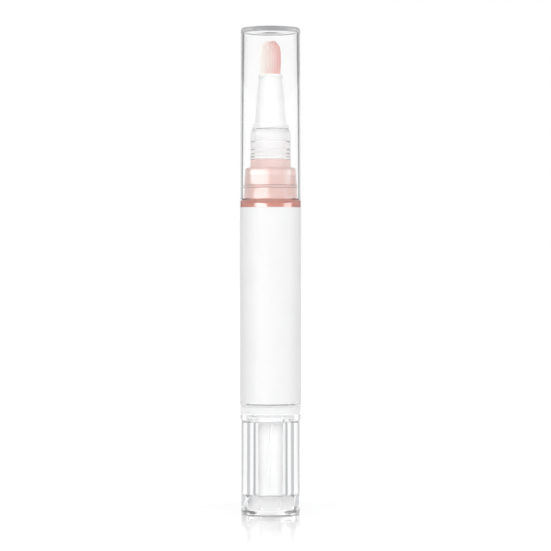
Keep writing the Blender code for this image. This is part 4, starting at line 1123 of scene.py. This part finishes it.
housing = turn("housing_moulding", [
    (4.95, 26.00), (RIB, 26.00), (RIB, 26.45), (6.81, 26.70), (6.81, 27.90), (RIB, 28.15), (RIB, 28.60),
    (4.90, 28.60), (4.90, 43.90), (2.30, 43.90), (2.30, 39.90), (3.90, 39.90), (3.90, 28.60), (3.45, 28.60),
    (3.45, 27.60), (4.95, 27.60),
])
round_rings(housing, [(4.90, 43.90, 0.20), (RIB, 28.60, 0.10)], segments=3)
print("housing:", len(housing.data.polygons), "faces")

# %% Ratchet
let_go()
bpy.ops.mesh.primitive_cylinder_add(vertices=2 * RATCHET_TEETH, radius=ROOT * MM, depth=2.10 * MM,
                                    location=(0, 0, 26.55 * MM))
bpy.ops.object.transform_apply(location=True, rotation=True, scale=True)
gaps = bpy.context.object
gaps.name = gaps.data.name = "ratchet_gaps"
bpy.ops.object.mode_set(mode="EDIT")
pick(gaps, "VERT", lambda corner: round(math.atan2(corner.co.y, corner.co.x) / TOOTH_STEP) % 2 == 0)
bpy.ops.transform.resize(value=(CREST / ROOT, CREST / ROOT, 1), center_override=(0, 0, 0))
bpy.ops.transform.rotate(value=TOOTH_STEP * (1 - 2 * TOOTH_SLOPE), orient_axis="Z",
                         center_override=(0, 0, 0))
bpy.ops.object.mode_set(mode="OBJECT")
cut(housing, gaps, "DIFFERENCE")
print("ratchet:", RATCHET_TEETH, "teeth")

# %% Fins
FINS = 4
FIN_SIZE = (2.10, 0.90, 11.80)
FIN_PLACE = (5.45, 0, 34.00)

for quarter in range(FINS):
    fin = block(FIN_SIZE, FIN_PLACE)
    open_mesh(fin)
    bpy.ops.transform.rotate(value=math.radians(45 + 90 * quarter), orient_axis="Z",
                             center_override=(0, 0, 0))
    bpy.ops.object.mode_set(mode="OBJECT")
    cut(housing, fin, "UNION")
fit(housing, housing_plastic, "barrel_body", "white_housing", "nut_housing")
# The housing's flange behind the clear foot gets the finish with a painted glow, to look whiter.
other_finish(housing, glowing_acetal_plastic, lambda radius, height, normal: height < 28.6 and radius > 6.4)

# %% [markdown]
# ## The click ring
#
# A small ring sits on the drive tube's flats and turns with it. Three thin arms curl out of it to the
# housing's saw teeth, and their tips spring over the teeth: that is the click the user feels. An arm is
# a straight bar, cut in even lengths and then wound round the hub along a slow spiral.

# %% Click ring
ARMS = 3
ARM_SWEEP = math.radians(78)
ARM_THICK = 0.35
ARM_REACH = 4.85
ARM_STEPS = 24
ARM_FOOT = 26.10
ARM_HEIGHT = 1.10
HUB = 3.90
HUB_FOOT = 26.05
HUB_TOP = 27.25

click = turn("click_spring", [(0, HUB_FOOT), (HUB, HUB_FOOT), (HUB, HUB_TOP), (0, HUB_TOP)], steps=96)
round_rings(click, [(HUB, HUB_TOP, 0.08), (HUB, HUB_FOOT, 0.08)], segments=2)
for arm in range(ARMS):
    let_go()
    bpy.ops.mesh.primitive_cube_add(size=1, location=(0.5, 0.5, 0.5))
    bar = bpy.context.object
    bpy.ops.object.transform_apply(location=True, rotation=True, scale=True)
    bpy.ops.object.mode_set(mode="EDIT")
    for length in range(1, ARM_STEPS):
        bpy.ops.mesh.select_all(action="SELECT")
        bpy.ops.mesh.bisect(plane_co=(length / ARM_STEPS, 0, 0), plane_no=(1, 0, 0))
    bpy.ops.object.mode_set(mode="OBJECT")
    points = np.array([v.co for v in bar.data.vertices], float)
    turned = math.tau * arm / ARMS + ARM_SWEEP * points[:, 0]
    root = HUB - ARM_THICK
    radius = root + (ARM_REACH - ARM_THICK - root) * points[:, 0] + ARM_THICK * points[:, 1]
    height = ARM_FOOT + ARM_HEIGHT * points[:, 2]
    wound = np.stack([radius * np.cos(turned), radius * np.sin(turned), height], 1) * MM
    bar.data.vertices.foreach_set("co", wound.ravel())
    bar.data.flip_normals()
    cut(click, bar, "UNION")
key_way = turn("key_way", [(0, 25.50), (3.30, 25.50), (3.30, 28.00), (0, 28.00)], steps=96)
flatten(key_way, 3.05)
cut(click, key_way, "DIFFERENCE")
fit(click, click_plastic, "knob_body", "grey_click", "click_ring")

# %% [markdown]
# ## The screw rod
#
# The rod is a screw with two flats. The flats slide in the drive tube, so the rod turns with the knob,
# and its thread climbs in the fixed nut by 2 mm a turn. One ridge of the thread is drawn as a short
# profile, and the screw modifier winds it up the whole rod. The winding starts below the rod and ends
# above it, because only a slice between full turns closes cleanly. The round head snaps into the piston.

# %% Thread of the rod
PITCH = 2.0
THREAD_START = 1.0
THREAD_TURNS = 23
THREAD_STEPS = 40
CORE = 1.78
THREAD = 2.10
ROD_FOOT = 4.00
ROD_TOP = 46.60

ridge = [(CORE, 0.0), (CORE, 0.70), (THREAD, 1.05), (THREAD, 1.35), (CORE, 1.70), (CORE, PITCH)]
rod = draw_profile("threaded_rod", [(radius, THREAD_START + height) for radius, height in ridge])
bpy.ops.object.mode_set(mode="OBJECT")
winding = rod.modifiers.new("thread", "SCREW")
winding.angle = math.tau
winding.screw_offset = PITCH * MM
winding.iterations = THREAD_TURNS
winding.steps = winding.render_steps = THREAD_STEPS
winding.use_merge_vertices = True
winding.merge_threshold = WELD
bpy.ops.object.modifier_apply(modifier=winding.name)
open_mesh(rod)
bpy.ops.mesh.remove_doubles(threshold=WELD)
bpy.ops.object.mode_set(mode="OBJECT")
print("thread:", len(rod.data.polygons), "faces")

# %% Screw rod
trim(rod, (0, 0, ROD_FOOT), (0, 0, -1))
trim(rod, (0, 0, ROD_TOP), (0, 0, 1))
open_mesh(rod)
bpy.ops.mesh.normals_make_consistent(inside=False)
bpy.ops.object.mode_set(mode="OBJECT")
flatten(rod, 1.50)
head = turn("rod_head", [(0, 46.30), (2.60, 46.30), (2.60, 46.90), (2.10, 47.50), (0, 47.50)], steps=64)
round_rings(head, [(2.60, 46.90, 0.10)], segments=3)
cut(rod, head, "UNION")
fit(rod, rod_plastic, "rod_body", "white_rod", "screw_rod")

# %% [markdown]
# ## The piston
#
# The piston has two soft lips that wipe the bore, a thin waist between them, and a collar with a
# pocket under it, in which the rod's head turns freely.

# %% Piston
LIP = 6.55
WAIST = 6.10

piston = turn("piston_wiper", [
    (0, 50.90), (6.35, 50.90), (LIP, 50.70), (LIP, 49.60), (WAIST, 49.15), (WAIST, 46.65), (LIP, 46.20),
    (LIP, 45.10), (6.35, 44.90), (4.60, 44.90), (4.00, 46.10), (3.40, 44.90), (2.30, 44.90), (2.30, 46.10),
    (2.80, 46.10), (2.80, 47.70), (0, 47.70),
])
round_rings(piston, [(6.35, 50.90, 0.10), (LIP, 50.70, 0.10), (LIP, 45.10, 0.10), (6.35, 44.90, 0.10),
                     (WAIST, 49.15, 0.15), (WAIST, 46.65, 0.15)], segments=2)
fit(piston, piston_plastic, "piston_body", "white_piston", "piston")

# %% [markdown]
# ## The feed tube
#
# A thin steel tube carries the gel from the nozzle into the middle of the bristles. Its CAD shape is
# already the real one, so it stays and only gets its metal: drawn steel, with fine lines along it. The
# real lines are too fine to show, so they are drawn about 0.1 mm wide.

# %% Steel of the feed tube
# Lines in a metre, across and along the tube.
LINES = (9000, 9000, 120)

steel, tree, shader, place = new_finish("drawn_stainless_steel")
drawn = add_node(tree, "ShaderNodeMapping", inputs={"Vector": place, "Scale": LINES})
lines = add_node(tree, "ShaderNodeTexNoise", inputs={"Vector": drawn.outputs[0], "Scale": 1.0, "Detail": 2.0})
rough = add_node(tree, "ShaderNodeMapRange",
                 inputs={"Value": lines.outputs["Fac"], "To Min": 0.18, "To Max": 0.38})
tone = add_node(tree, "ShaderNodeMix", {"data_type": "RGBA"},
                {"Factor": lines.outputs["Fac"], "A": linear("D2D4D6"), "B": linear("BFC1C4")})
tree.links.new(tone.outputs["Result"], shader.inputs["Base Color"])
tree.links.new(rough.outputs[0], shader.inputs["Roughness"])
shader.inputs["Metallic"].default_value = 1.0
feed_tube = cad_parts["feed_tube"]
feed_tube.data.materials.clear()
feed_tube.data.materials.append(steel)
print("carried over:", feed_tube.name)
